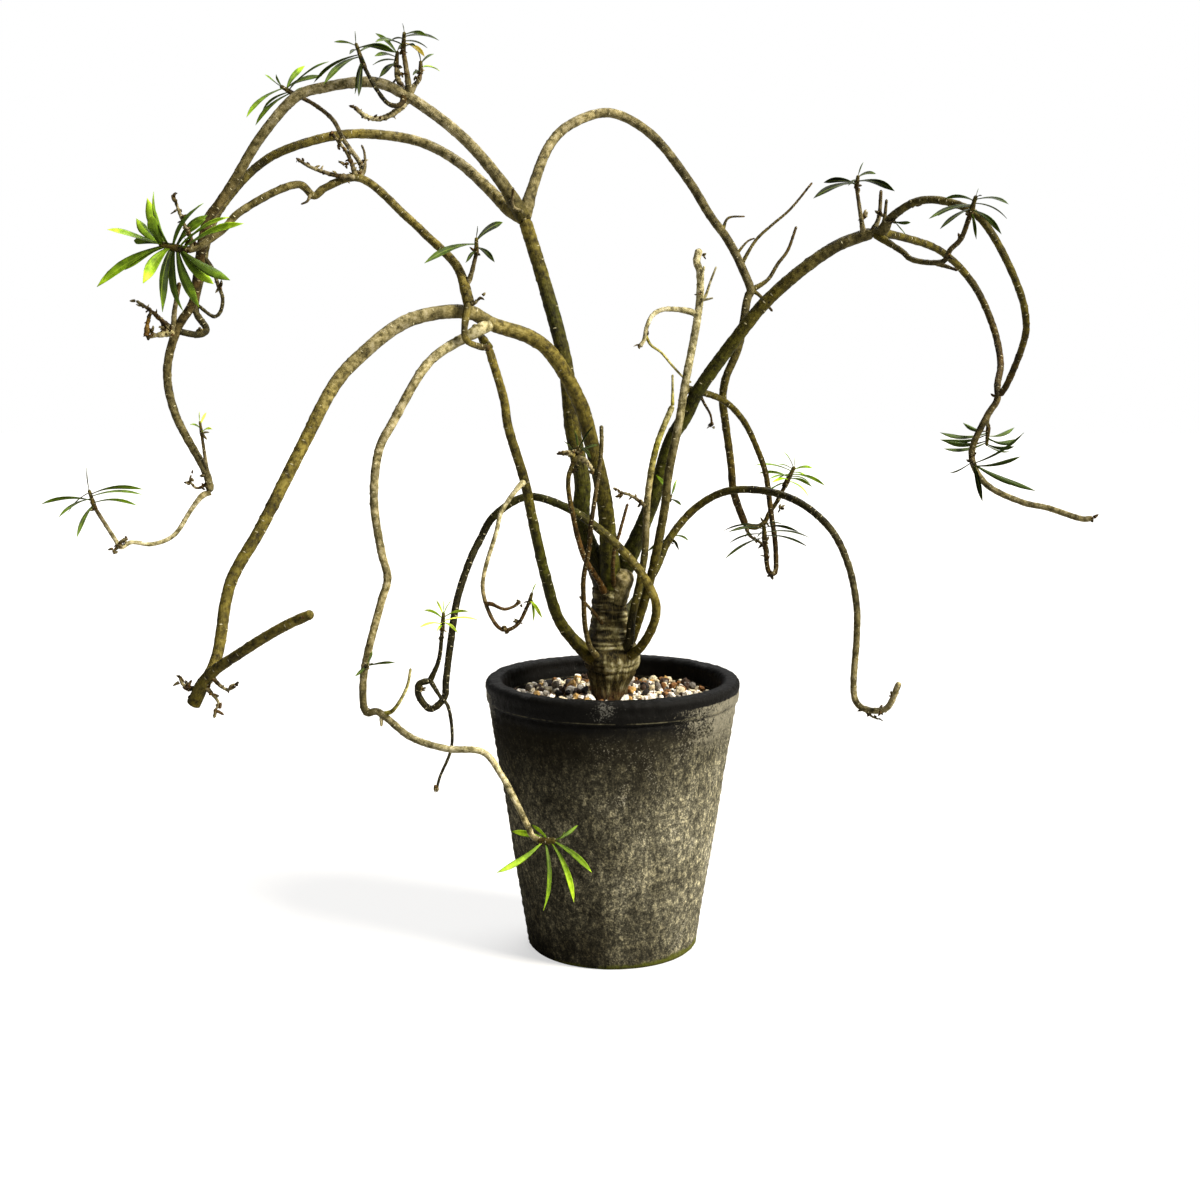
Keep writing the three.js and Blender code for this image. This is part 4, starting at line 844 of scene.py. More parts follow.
def make_trunk():
    """The trunk with its creases, fibres and knobs, its pruned limb and the twigs on it."""
    places = walk([(x, y, z) for x, y, z, _ in TRUNK], BARK_STEP)
    top = places[-1].z
    dark, brown, pale_wood, soil = [Vector(linear(code)) for code in (*TRUNK_SHADES, SOIL_SHADE)]

    def skin(row, angle):
        height = places[row].z
        around = Vector((math.cos(angle), math.sin(angle), 0))
        girth = trunk_girth(height)
        out = girth + TRUNK_WARP * noise.noise(around * 1.3 + Vector((0, 0, height / 15)))
        fibres = noise.noise(around * 8 + Vector((3, 0, height / 30)))
        fibres += 0.6 * noise.noise(around * 17 + Vector((8, 0, height / 22)))
        out += FIBRE_RELIEF * fibres * ramp(height, *FIBRES, 1, 0.25)
        crease = 0
        for level in COLLAR_CREASES:
            wavy = level + CREASE_WAVE * noise.noise(around * 1.6 + Vector((level, 0, 0)))
            strength = ramp(noise.noise(around * 1.1 + Vector((0, level, 3))), -0.35, 0.15, 0, 1)
            crease = max(crease, strength * math.exp(-((height - wavy) / CREASE_HEIGHT) ** 2))
        out -= CREASE_DEPTH * crease
        swell = 0
        for x, y, z in SHOULDERS:
            facing = math.atan2(y, x + 2)
            apart = abs((angle - facing + math.pi) % math.tau - math.pi) * girth
            swell = max(swell, math.exp(-((apart / 7) ** 2 + ((height - z) / 6) ** 2)))
        out += SHOULDER_SWELL * swell
        rings = noise.noise(Vector((around.x * 0.9, around.y * 0.9, height / 1.7)))
        knobs = noise.noise(around * 3 + Vector((9, 0, height / 5)))
        neck = ramp(height, *NECK, 0, 1)
        out += (RING_RELIEF * rings + KNOB_RELIEF * knobs) * neck
        left = top - height
        if left < TOP_ROUND:
            out *= math.sqrt(max(0.04, 1 - (1 - left / TOP_ROUND) ** 2))
        # The wood's colour is its own random tone, darkened in the creases by painted shade and lightened
        # on the raised neck rings, fibres and shoulders by painted highlights.
        pale = 0.45 + 0.8 * noise.noise(around * 2 + Vector((0, 4, height / 11))) - 0.8 * crease
        pale += 1.1 * rings * neck + 0.6 * fibres * (1 - neck) + 0.45 * swell
        shade = brown.lerp(pale_wood, ramp(pale, 0.6, 1.2, 0, 1))
        shade = shade.lerp(dark, ramp(pale, 0.5, -0.1, 0, 1))
        return out, girth + 3, height / 6, shade.lerp(soil, ramp(height, *SOIL_LINE, 0, 1))

    bm = bent_bar(places, TRUNK_SIDES, skin)
    join(bm, grown("twig", *LIMB_RADII, PRUNED_LIMB, ["grey", "pale"], LIMB_SEED))
    facing = (Vector(PRUNED_LIMB[-1]) - Vector(PRUNED_LIMB[-2])).normalized()
    join(bm, cut_face(Vector(PRUNED_LIMB[-1]) - facing * 2.5, facing, LIMB_RADII[1]))
    for number, (kind, start, end, route) in enumerate(TRUNK_TWIGS):
        join(bm, grown(kind, start, end, route, ["brown", "rust"], TRUNK_TWIG_SEED + number))
    return bm


old_bark = living_bark("old_trunk_bark", 0.3, 0.003)
piece_of(make_trunk(), "swollen_trunk", old_bark, "trunk_bark", "trunk")


# Stems
# Long stems fork from the trunk and from each other, and arch over under their own weight. Dry twigs,
# pruned stubs and little hooks stay on them. Each is a kind, its two end radii and its route.

STEMS = {
    "tall_stem": [
        ("stem", 6.2, 4.6, [
            (-5, 0, 257), (-7, 0, 265), (-21, 2, 299), (-22, 3, 316), (-21, 4, 330), (-28, 6, 369),
            (-33, 9, 414), (-45, 11, 461), (-55, 12, 494), (-61, 12, 513)
        ]),
    ],
    "ochre_arch": [
        ("stem", 5.6, 3.3, [
            (-1, -5, 259), (-6, -15, 322), (-16, -21, 366), (-22, -25, 387), (-42, -36, 422),
            (-55, -41, 432), (-81, -48, 441), (-94, -52, 448), (-132, -66, 443), (-165, -85, 417),
            (-177, -95, 402), (-196, -116, 362), (-217, -145, 315), (-230, -164, 289), (-233, -172, 275),
            (-236, -190, 243), (-247, -202, 219)
        ]),
        ("twig", 3.2, 2.9, [
            (-247, -202, 219), (-238, -206, 235), (-214, -218, 253), (-187, -232, 270), (-169, -241, 279)
        ]),
        ("dry", 1.3, 0.7, [
            (-244, -200, 227), (-252, -205, 231), (-254, -206, 237)
        ]),
        ("dry", 1.2, 0.7, [
            (-236, -207, 237), (-226, -209, 229), (-220, -210, 231)
        ]),
        ("dry", 1.2, 0.6, [
            (-240, -205, 231), (-231, -208, 220), (-234, -209, 216)
        ]),
    ],
    "right_main": [
        ("stem", 5.4, 4.0, [
            (3, 3, 258), (8, 5, 271), (28, 8, 319), (41, 7, 362), (51, 4, 379), (58, 1, 394),
            (81, -3, 427), (107, -7, 459), (149, -13, 492), (175, -16, 502)
        ]),
        ("twig", 1.6, 1.2, [
            (169, -15, 499), (167, -18, 505), (162, -20, 531)
        ]),
        ("twig", 1.6, 1.1, [
            (173, -16, 501), (178, -14, 510), (180, -11, 530)
        ]),
        ("twig", 1.4, 1.0, [
            (173, -16, 500), (180, -20, 507), (182, -22, 523)
        ]),
    ],
    "left_leaner": [
        ("stem", 4.2, 2.7, [
            (-9, -6, 206), (-16, -12, 212), (-36, -23, 237), (-46, -34, 271), (-55, -47, 316),
            (-59, -50, 337), (-70, -52, 375), (-72, -52, 390), (-82, -52, 425)
        ]),
        ("twig", 2.4, 1.8, [
            (-82, -52, 425), (-93, -36, 440)
        ]),
    ],
    "straight_pale": [
        ("stem", 3.3, 2.6, [
            (8, 4, 212), (15, 0, 227), (25, -6, 260), (36, -11, 317), (38, -11, 337), (46, -6, 377),
            (49, -2, 396), (60, 13, 456), (60, 15, 478), (58, 16, 484), (60, 17, 493)
        ]),
        ("twig", 1.9, 1.3, [
            (58, 12, 448), (53, 10, 450), (34, 2, 451), (27, -1, 447), (23, -4, 439), (21, -6, 430),
            (18, -7, 426)
        ]),
        ("twig", 0.9, 0.8, [
            (22, -5, 434), (26, -4, 427), (33, -2, 422), (41, 4, 413), (49, 12, 405), (55, 17, 401)
        ]),
        ("twig", 1.3, 0.8, [
            (60, 14, 467), (63, 11, 481)
        ]),
        ("twig", 1.1, 0.7, [
            (60, 13, 456), (64, 17, 460), (68, 19, 471), (72, 21, 481)
        ]),
        ("twig", 1.1, 0.6, [
            (60, 13, 458), (64, 8, 458), (69, 5, 459)
        ]),
        ("twig", 1.1, 1.0, [
            (36, -11, 319), (39, -6, 321)
        ]),
    ],
    "yellow_green": [
        ("stem", 2.9, 2.0, [
            (2, -8, 211), (11, -14, 221), (13, -15, 237), (22, -14, 284), (24, -12, 324), (30, -10, 358),
            (41, -7, 386)
        ]),
        ("twig", 1.0, 0.8, [
            (41, -7, 386), (41, -5, 401), (41, -2, 407)
        ]),
        ("dry", 1.3, 0.8, [
            (24, -12, 316), (12, -18, 325), (3, -20, 328)
        ]),
    ],
    "back_arch": [
        ("stem", 3.1, 2.1, [
            (4, 8, 233), (17, 24, 246), (31, 36, 266), (41, 44, 287), (60, 50, 309), (81, 43, 322),
            (108, 31, 324), (132, 16, 317), (153, 1, 299), (164, -11, 275), (169, -19, 247),
            (169, -22, 229), (168, -28, 184), (174, -30, 178), (188, -35, 179), (196, -41, 199)
        ]),
        ("dry", 1.0, 0.6, [
            (174, -30, 178), (179, -31, 173), (184, -32, 171)
        ]),
        ("twig", 1.1, 1.0, [
            (39, 43, 284), (43, 45, 287)
        ]),
    ],
    "front_arch": [
        ("stem", 3.2, 2.2, [
            (2, -6, 205), (20, -18, 220), (30, -25, 246), (23, -30, 267), (3, -32, 292), (-26, -33, 315),
            (-52, -31, 325), (-63, -30, 324), (-82, -32, 311), (-90, -36, 297), (-96, -41, 285),
            (-105, -49, 258), (-109, -57, 231), (-112, -65, 205), (-113, -68, 194), (-122, -71, 187),
            (-130, -71, 197), (-129, -71, 204), (-122, -70, 206)
        ]),
        ("twig", 1.5, 1.3, [
            (-122, -70, 206), (-116, -72, 220), (-113, -74, 242)
        ]),
        ("twig", 1.3, 0.9, [
            (-122, -70, 206), (-114, -76, 195), (-110, -78, 191), (-107, -84, 165), (-115, -88, 144),
            (-117, -89, 136)
        ]),
    ],
    "thin_front": [
        ("stem", 1.9, 1.4, [
            (-7, -10, 208), (-12, -18, 214), (-16, -23, 221), (-19, -30, 235), (-20, -38, 254),
            (-20, -44, 271), (-16, -49, 294), (-15, -50, 308), (-13, -49, 321), (-8, -43, 358),
            (-8, -41, 374)
        ]),
    ],
    "thin_left": [
        ("stem", 2.0, 1.5, [
            (-5, -8, 254), (-8, -14, 262), (-14, -24, 273), (-20, -34, 285), (-27, -48, 314),
            (-30, -50, 339), (-25, -48, 353)
        ]),
        ("dry", 1.7, 1.3, [
            (-27, -48, 352), (-20, -51, 352), (-13, -54, 344)
        ]),
        ("dry", 1.6, 1.4, [
            (-26, -49, 354), (-30, -50, 356), (-35, -51, 356)
        ]),
    ],
    "upper_left": [
        ("stem", 4.0, 2.6, [
            (-61, 12, 513), (-77, 10, 538), (-104, 6, 568), (-143, 0, 595), (-160, -3, 601),
            (-192, -9, 597), (-210, -12, 591), (-234, -18, 564), (-252, -22, 535), (-262, -24, 520),
            (-270, -25, 509), (-278, -28, 469), (-281, -28, 455), (-292, -28, 438), (-300, -28, 410),
            (-295, -32, 382), (-273, -39, 340), (-271, -40, 329)
        ]),
        ("twig", 1.4, 0.9, [
            (-61, 10, 512), (-62, 8, 517), (-68, 6, 520), (-68, 3, 533)
        ]),
        ("twig", 1.9, 1.5, [
            (-137, 1, 593), (-138, -4, 606), (-140, -6, 621)
        ]),
        ("twig", 1.7, 1.2, [
            (-137, 1, 593), (-134, 4, 600), (-131, 6, 604), (-130, 7, 609)
        ]),
        ("dry", 1.8, 1.4, [
            (-139, 1, 593), (-146, 8, 606), (-147, 11, 614)
        ]),
        ("twig", 1.7, 1.3, [
            (-141, 0, 593), (-141, -6, 588), (-144, -9, 585), (-150, -11, 586), (-158, -14, 596),
            (-165, -16, 609)
        ]),
        ("dry", 2.0, 1.5, [
            (-138, 2, 592), (-143, 0, 585), (-156, -6, 577), (-165, -9, 578), (-173, -12, 584)
        ]),
        ("twig", 1.8, 1.4, [
            (-295, -28, 432), (-293, -31, 448), (-290, -35, 458), (-287, -38, 468)
        ]),
        ("dry", 1.7, 1.0, [
            (-296, -28, 437), (-308, -36, 450), (-316, -39, 456)
        ]),
        ("dry", 1.9, 1.2, [
            (-294, -28, 435), (-306, -38, 433), (-310, -40, 432)
        ]),
        ("twig", 1.4, 1.0, [
            (-272, -39, 336), (-273, -40, 345), (-275, -42, 368)
        ]),
        ("dry", 1.0, 0.6, [
            (-272, -39, 335), (-280, -41, 332), (-284, -42, 337), (-283, -42, 341)
        ]),
        ("dry", 1.3, 1.1, [
            (-310, -40, 433), (-309, -39, 441), (-307, -37, 449)
        ]),
    ],
    "lower_left": [
        ("stem", 4.0, 2.2, [
            (-61, 12, 513), (-73, 22, 521), (-86, 33, 534), (-108, 49, 554), (-130, 58, 567),
            (-151, 61, 573), (-189, 53, 574), (-228, 33, 561), (-244, 23, 550), (-260, 8, 530),
            (-272, -5, 507), (-279, -11, 473), (-283, -13, 450), (-275, -18, 437), (-279, -21, 434),
            (-292, -28, 436)
        ]),
        ("twig", 1.4, 1.2, [
            (-278, -9, 487), (-271, -12, 478), (-267, -14, 467), (-264, -15, 458), (-266, -15, 449),
            (-270, -15, 446), (-282, -13, 454)
        ]),
    ],
    "left_link": [
        ("stem", 1.6, 1.3, [
            (-271, -40, 329), (-276, -42, 327), (-283, -45, 318), (-294, -52, 301), (-307, -58, 296),
            (-319, -65, 298), (-325, -68, 295), (-328, -70, 301), (-339, -74, 322)
        ]),
        ("dry", 1.0, 0.6, [
            (-326, -69, 296), (-323, -70, 300), (-319, -71, 301)
        ]),
        ("dry", 1.0, 0.6, [
            (-325, -68, 297), (-330, -70, 292)
        ]),
    ],
    "right_arch": [
        ("stem", 3.6, 2.7, [
            (-61, 12, 513), (-57, 23, 530), (-44, 45, 566), (-30, 56, 581), (-2, 70, 591), (27, 79, 578),
            (56, 81, 544), (71, 78, 520), (84, 74, 502), (95, 69, 480), (100, 66, 466), (98, 65, 461),
            (91, 58, 425), (82, 56, 403), (80, 56, 388), (82, 57, 373), (87, 60, 340), (89, 60, 321),
            (98, 58, 296)
        ]),
        ("twig", 1.6, 1.0, [
            (100, 66, 466), (113, 73, 474), (121, 78, 486), (128, 82, 495), (135, 88, 513)
        ]),
        ("twig", 1.2, 0.9, [
            (101, 66, 466), (106, 66, 463), (116, 64, 451)
        ]),
        ("twig", 1.1, 0.6, [
            (80, 75, 509), (84, 79, 518), (97, 86, 520)
        ]),
        ("twig", 1.1, 0.6, [
            (89, 71, 491), (99, 78, 502), (104, 80, 504)
        ]),
        ("twig", 1.3, 0.8, [
            (93, 70, 484), (105, 79, 503), (117, 84, 514), (130, 89, 525), (147, 96, 545)
        ]),
        ("twig", 1.8, 1.5, [
            (98, 58, 296), (106, 59, 295), (112, 60, 298), (115, 61, 304), (121, 62, 313), (127, 63, 325)
        ]),
        ("dry", 1.2, 0.9, [
            (98, 58, 296), (101, 55, 289), (109, 48, 284), (110, 43, 283)
        ]),
    ],
    "pale_hanger": [
        ("stem", 3.2, 1.9, [
            (-82, -50, 440), (-89, -56, 436), (-113, -65, 422), (-123, -69, 412), (-143, -78, 377),
            (-151, -83, 361), (-154, -92, 329), (-149, -99, 296), (-145, -102, 279), (-149, -106, 264),
            (-160, -115, 216), (-158, -118, 195), (-151, -120, 196), (-129, -127, 181),
            (-106, -133, 175), (-82, -139, 174), (-71, -143, 161), (-55, -151, 132), (-51, -153, 124),
            (-46, -154, 121)
        ]),
        ("twig", 1.2, 0.9, [
            (-146, -121, 195), (-141, -123, 197), (-131, -127, 213), (-128, -129, 226)
        ]),
        ("twig", 1.1, 0.8, [
            (-148, -121, 195), (-148, -123, 187)
        ]),
        ("twig", 1.2, 1.1, [
            (-158, -113, 223), (-157, -118, 225)
        ]),
    ],
    "upper_leaner": [
        ("stem", 1.6, 2.7, [
            (-82, -54, 425), (-88, -58, 426), (-96, -67, 431), (-96, -65, 444), (-94, -60, 454)
        ]),
        ("twig", 2.9, 2.4, [
            (-94, -60, 454), (-102, -49, 477), (-124, -37, 499), (-137, -31, 511), (-170, -21, 537),
            (-192, -23, 530), (-199, -24, 525), (-208, -26, 532), (-246, -38, 513), (-256, -42, 502),
            (-272, -49, 490), (-279, -50, 488)
        ]),
        ("dry", 1.7, 1.0, [
            (-170, -21, 537), (-184, -26, 538), (-200, -31, 543), (-208, -34, 548)
        ]),
        ("dry", 1.4, 1.1, [
            (-171, -21, 537), (-176, -24, 552), (-186, -26, 565)
        ]),
        ("twig", 1.7, 1.4, [
            (-169, -21, 537), (-168, -14, 544), (-182, 0, 564), (-190, 5, 578), (-204, 7, 589),
            (-215, 6, 594)
        ]),
        ("twig", 1.2, 0.7, [
            (-169, -21, 537), (-166, -18, 542), (-166, -16, 554), (-168, -15, 559)
        ]),
        ("twig", 1.1, 0.6, [
            (-199, -24, 526), (-201, -26, 525), (-203, -28, 521), (-207, -29, 519)
        ]),
        ("twig", 1.5, 1.3, [
            (-97, -54, 465), (-94, -55, 469), (-89, -57, 486)
        ]),
        ("dry", 1.1, 0.7, [
            (-94, -60, 452), (-90, -62, 454), (-86, -63, 458)
        ]),
        ("dry", 1.3, 1.0, [
            (-275, -50, 489), (-275, -54, 497), (-278, -58, 505), (-283, -62, 522)
        ]),
    ],
    "right_front": [
        ("stem", 2.7, 2.2, [
            (175, -16, 502), (180, -20, 502), (184, -27, 510), (199, -41, 520), (216, -50, 519),
            (236, -56, 509), (265, -53, 462), (272, -46, 440), (272, -40, 428), (266, -23, 400),
            (263, -18, 393)
        ]),
        ("twig", 1.1, 1.0, [
            (183, -26, 508), (185, -31, 508)
        ]),
    ],
    "right_back": [
        ("stem", 2.7, 2.0, [
            (175, -16, 502), (198, 6, 500), (231, 30, 491), (255, 40, 470), (267, 29, 442),
            (268, 4, 414), (263, -10, 400), (262, -15, 390), (255, -17, 379), (245, -19, 353),
            (254, -21, 334), (279, -24, 321), (297, -27, 317), (320, -31, 310), (326, -32, 311)
        ]),
        ("twig", 1.3, 1.2, [
            (258, -16, 385), (258, -6, 374), (259, -5, 370)
        ]),
        ("twig", 1.2, 1.1, [
            (245, -19, 350), (244, -25, 349)
        ]),
    ],
    "right_low": [
        ("stem", 2.0, 1.6, [
            (176, -18, 500), (192, -31, 488), (197, -36, 483), (215, -52, 481), (218, -58, 488),
            (223, -64, 494), (227, -72, 509)
        ]),
        ("twig", 1.4, 0.9, [
            (211, -48, 480), (224, -54, 475)
        ]),
    ],
    "right_hook": [
        ("stem", 2.4, 1.7, [
            (49, -2, 396), (55, 11, 396), (77, 22, 389), (93, 33, 374), (106, 43, 349), (111, 46, 335),
            (115, 47, 309), (119, 45, 280), (118, 41, 263), (114, 39, 264), (110, 35, 287)
        ]),
        ("twig", 1.1, 0.7, [
            (60, 14, 395), (64, 18, 387), (69, 20, 378), (70, 21, 371)
        ]),
    ],
    "pale_curl": [
        ("stem", 1.6, 1.2, [
            (-59, -50, 337), (-62, -57, 335), (-74, -64, 318), (-77, -67, 306), (-86, -75, 269),
            (-77, -79, 245), (-71, -81, 242), (-63, -83, 246), (-55, -85, 261)
        ]),
        ("twig", 1.2, 0.9, [
            (-84, -77, 259), (-80, -79, 259), (-72, -81, 256), (-66, -78, 257), (-61, -76, 260)
        ]),
    ],
}
# The bark's colours from a stem's foot to its tip, and those of single twigs by their number.
STEM_COLOURS = {
    "tall_stem": ["dark", "green", "olive", "green", "ochre"],
    "ochre_arch": ["green", "olive", "ochre", "sand", "ochre", "olive", "ochre"],
    "right_main": ["green", "green", "green", "olive", "grey"],
    "left_leaner": ["olive", "green", "olive", "ochre"],
    "straight_pale": ["olive", "olive", "grey", "cream", "cream"],
    "yellow_green": ["dark", "dark", "olive", "grey", "pale", "yellow", "straw"],
    "back_arch": ["green", "olive", "dark", "grey", "pale"],
    "front_arch": ["olive", "ochre", "green", "dark", "dark", "dark"],
    "thin_front": ["grey", "brown", "brown", "grey"],
    "thin_left": ["rust", "rust", "olive"],
    "upper_left": ["olive", "sand", "sand", "grey", "brown", "grey", "grey"],
    "lower_left": ["ochre", "sand", "ochre", "olive", "grey", "dark"],
    "left_link": ["pale", "cream", "cream", "brown"],
    "right_arch": ["grey", "pale", "grey", "grey", "olive", "brown"],
    "pale_hanger": ["cream", "pale", "sand", "pale", "grey", "cream", "pale"],
    "upper_leaner": ["brown", "grey", "ochre", "grey", "ochre", "grey"],
    "right_front": ["grey", "olive", "olive", "brown"],
    "right_back": ["olive", "olive", "brown", "grey", "pale"],
    "right_low": ["olive", "grey", "brown"],
    "right_hook": ["olive", "olive", "brown", "brown"],
    "pale_curl": ["cream", "cream", "pale", "rust", "brown"],
}
STEM_SLOTS = {
    "ochre_arch": "ochre_bark", "pale_hanger": "pale_bark", "pale_curl": "pale_bark",
    "straight_pale": "pale_bark", "left_link": "pale_bark", "front_arch": "dark_bark",
    "right_arch": "dark_bark", "back_arch": "dark_bark",
}
TWIG_COLOURS = {
    ("straight_pale", 2): ["yellow", "straw"], ("pale_hanger", 1): ["yellow", "straw"],
    ("upper_left", 5): ["brown", "dark", "dark"],
    ("upper_left", 6): ["cream", "pale", "sand", "cream", "brown"],
    ("upper_left", 8): ["dark", "brown", "brown", "sand"],
    ("upper_left", 9): ["pale", "cream", "pale", "brown"],
    ("upper_left", 12): ["rust", "gold", "gold"],
    ("thin_left", 1): ["ochre", "sand", "pale"], ("thin_left", 2): ["ochre", "sand", "brown"],
}
BROWN_TWIGS = ("upper_left", "upper_leaner", "right_main", "right_front", "thin_left")
# Where leaf stalks withered, and how many.
REMAINS = {
    "upper_left": [(-138, 1, 596, 12), (-141, -6, 606, 6), (-132, 5, 606, 6), (-146, 9, 606, 6),
                   (-300, -31, 437, 9), (-308, -37, 436, 7), (-273, -40, 334, 7), (-276, -41, 340, 4)],
    "upper_leaner": [(-170, -21, 539, 12), (-178, -24, 545, 6), (-167, -16, 548, 6), (-200, -25, 526, 6),
                     (-94, -60, 456, 5), (-276, -52, 492, 5)],
    "lower_left": [(-266, -15, 466, 4), (-279, -20, 437, 4)],
    "ochre_arch": [(-247, -202, 224, 9), (-238, -205, 232, 6), (-250, -204, 230, 5), (-172, -239, 277, 3)],
    "left_link": [(-326, -69, 297, 7), (-322, -68, 299, 3)],
    "right_main": [(173, -16, 503, 8), (168, -18, 512, 6), (179, -16, 514, 6)],
    "right_front": [(184, -28, 510, 4), (197, -40, 518, 3)],
    "right_back": [(262, -14, 393, 4), (326, -32, 311, 5), (246, -20, 352, 4)],
    "right_low": [(222, -62, 493, 5), (217, -56, 484, 3)],
    "right_hook": [(115, 40, 262, 6), (112, 37, 274, 5), (70, 21, 371, 7)],
    "right_arch": [(99, 59, 296, 5), (112, 60, 298, 4), (110, 44, 283, 4), (102, 68, 466, 4),
                   (124, 62, 308, 4)],
    "back_arch": [(184, -34, 178, 6), (193, -39, 189, 5), (174, -30, 178, 4)],
    "front_arch": [(-128, -71, 200, 4), (-117, -89, 138, 4), (-114, -73, 236, 4)],
    "thin_left": [(-26, -48, 351, 9), (-24, -47, 357, 7), (-28, -48, 344, 5)],
    "straight_pale": [(18, -7, 427, 5), (22, -5, 433, 3), (62, 17, 489, 4), (61, 13, 462, 3)],
    "pale_hanger": [(-158, -118, 197, 4), (-48, -153, 122, 3)],
    "yellow_green": [(5, -20, 327, 5)],
    "pale_curl": [(-70, -81, 243, 6), (-63, -82, 247, 6), (-62, -76, 259, 4)],
}
STALK_LENGTHS = (1.6, 5.5)
STALK_RADII = (0.5, 1.05)
STALK_STEP, STALK_SIDES = 1.3, 5
STALK_SPACING = 2.2
STALK_SEAT, STALK_BENDS, STALK_CURL, STALK_TAPER = 1.5, 4, 0.55, 0.6
STALK_COLOURS = ("rust", "sand", "pale", "dark")
STEM_SEED = 900


def withered(bm, place, count, rng):
    """Leaf stalks that withered on a node: thin dry hooks that curl away from it."""
    for _ in range(count):
        ahead = Vector([rng.uniform(-1, 1) for _ in range(3)]).normalized()
        curl = Vector([rng.uniform(-1, 1) for _ in range(3)])
        radius = rng.uniform(*STALK_RADII)
        length = rng.uniform(*STALK_LENGTHS)
        route = [Vector(place) + ahead * rng.uniform(0, STALK_SEAT)]
        for _ in range(STALK_BENDS):
            ahead = (ahead + curl * STALK_CURL).normalized()
            route.append(route[-1] + ahead * length / STALK_BENDS)
        colours = ["brown", rng.choice(STALK_COLOURS)]
        seed = rng.random() * 50
        join(bm, grown("dry", radius, radius * STALK_TAPER, route, colours, seed, STALK_STEP, STALK_SIDES))


for order, (name, tubes) in enumerate(STEMS.items()):
    wood = new_bark()
    rng = random.Random(STEM_SEED + order)
    own = STEM_COLOURS[name]
    for number, (kind, start, end, route) in enumerate(tubes):
        young = ["sand", "brown"] if name in BROWN_TWIGS and start < 2 else own[-2:]
        colours = {"stem": own, "twig": young, "dry": ["sand", "brown", "sand", "brown"]}[kind]
        colours = TWIG_COLOURS.get((name, number), colours)
        join(wood, grown(kind, start, end, route, colours, order * 10 + number))
        if kind == "dry":
            for place in walk(route, STALK_SPACING)[1:]:
                withered(wood, place, 1, rng)
    for *place, count in REMAINS.get(name, ()):
        withered(wood, place, count, rng)
    piece_of(wood, name + "_wood", bark_finish, STEM_SLOTS.get(name, "olive_bark"), name)


# Leaves
# Narrow, slightly fleshy blades, widest past the middle, arched over and folded a little along a pale
# midrib. They sit in a spiral round the tip of a short shoot, the youngest upright in its middle.

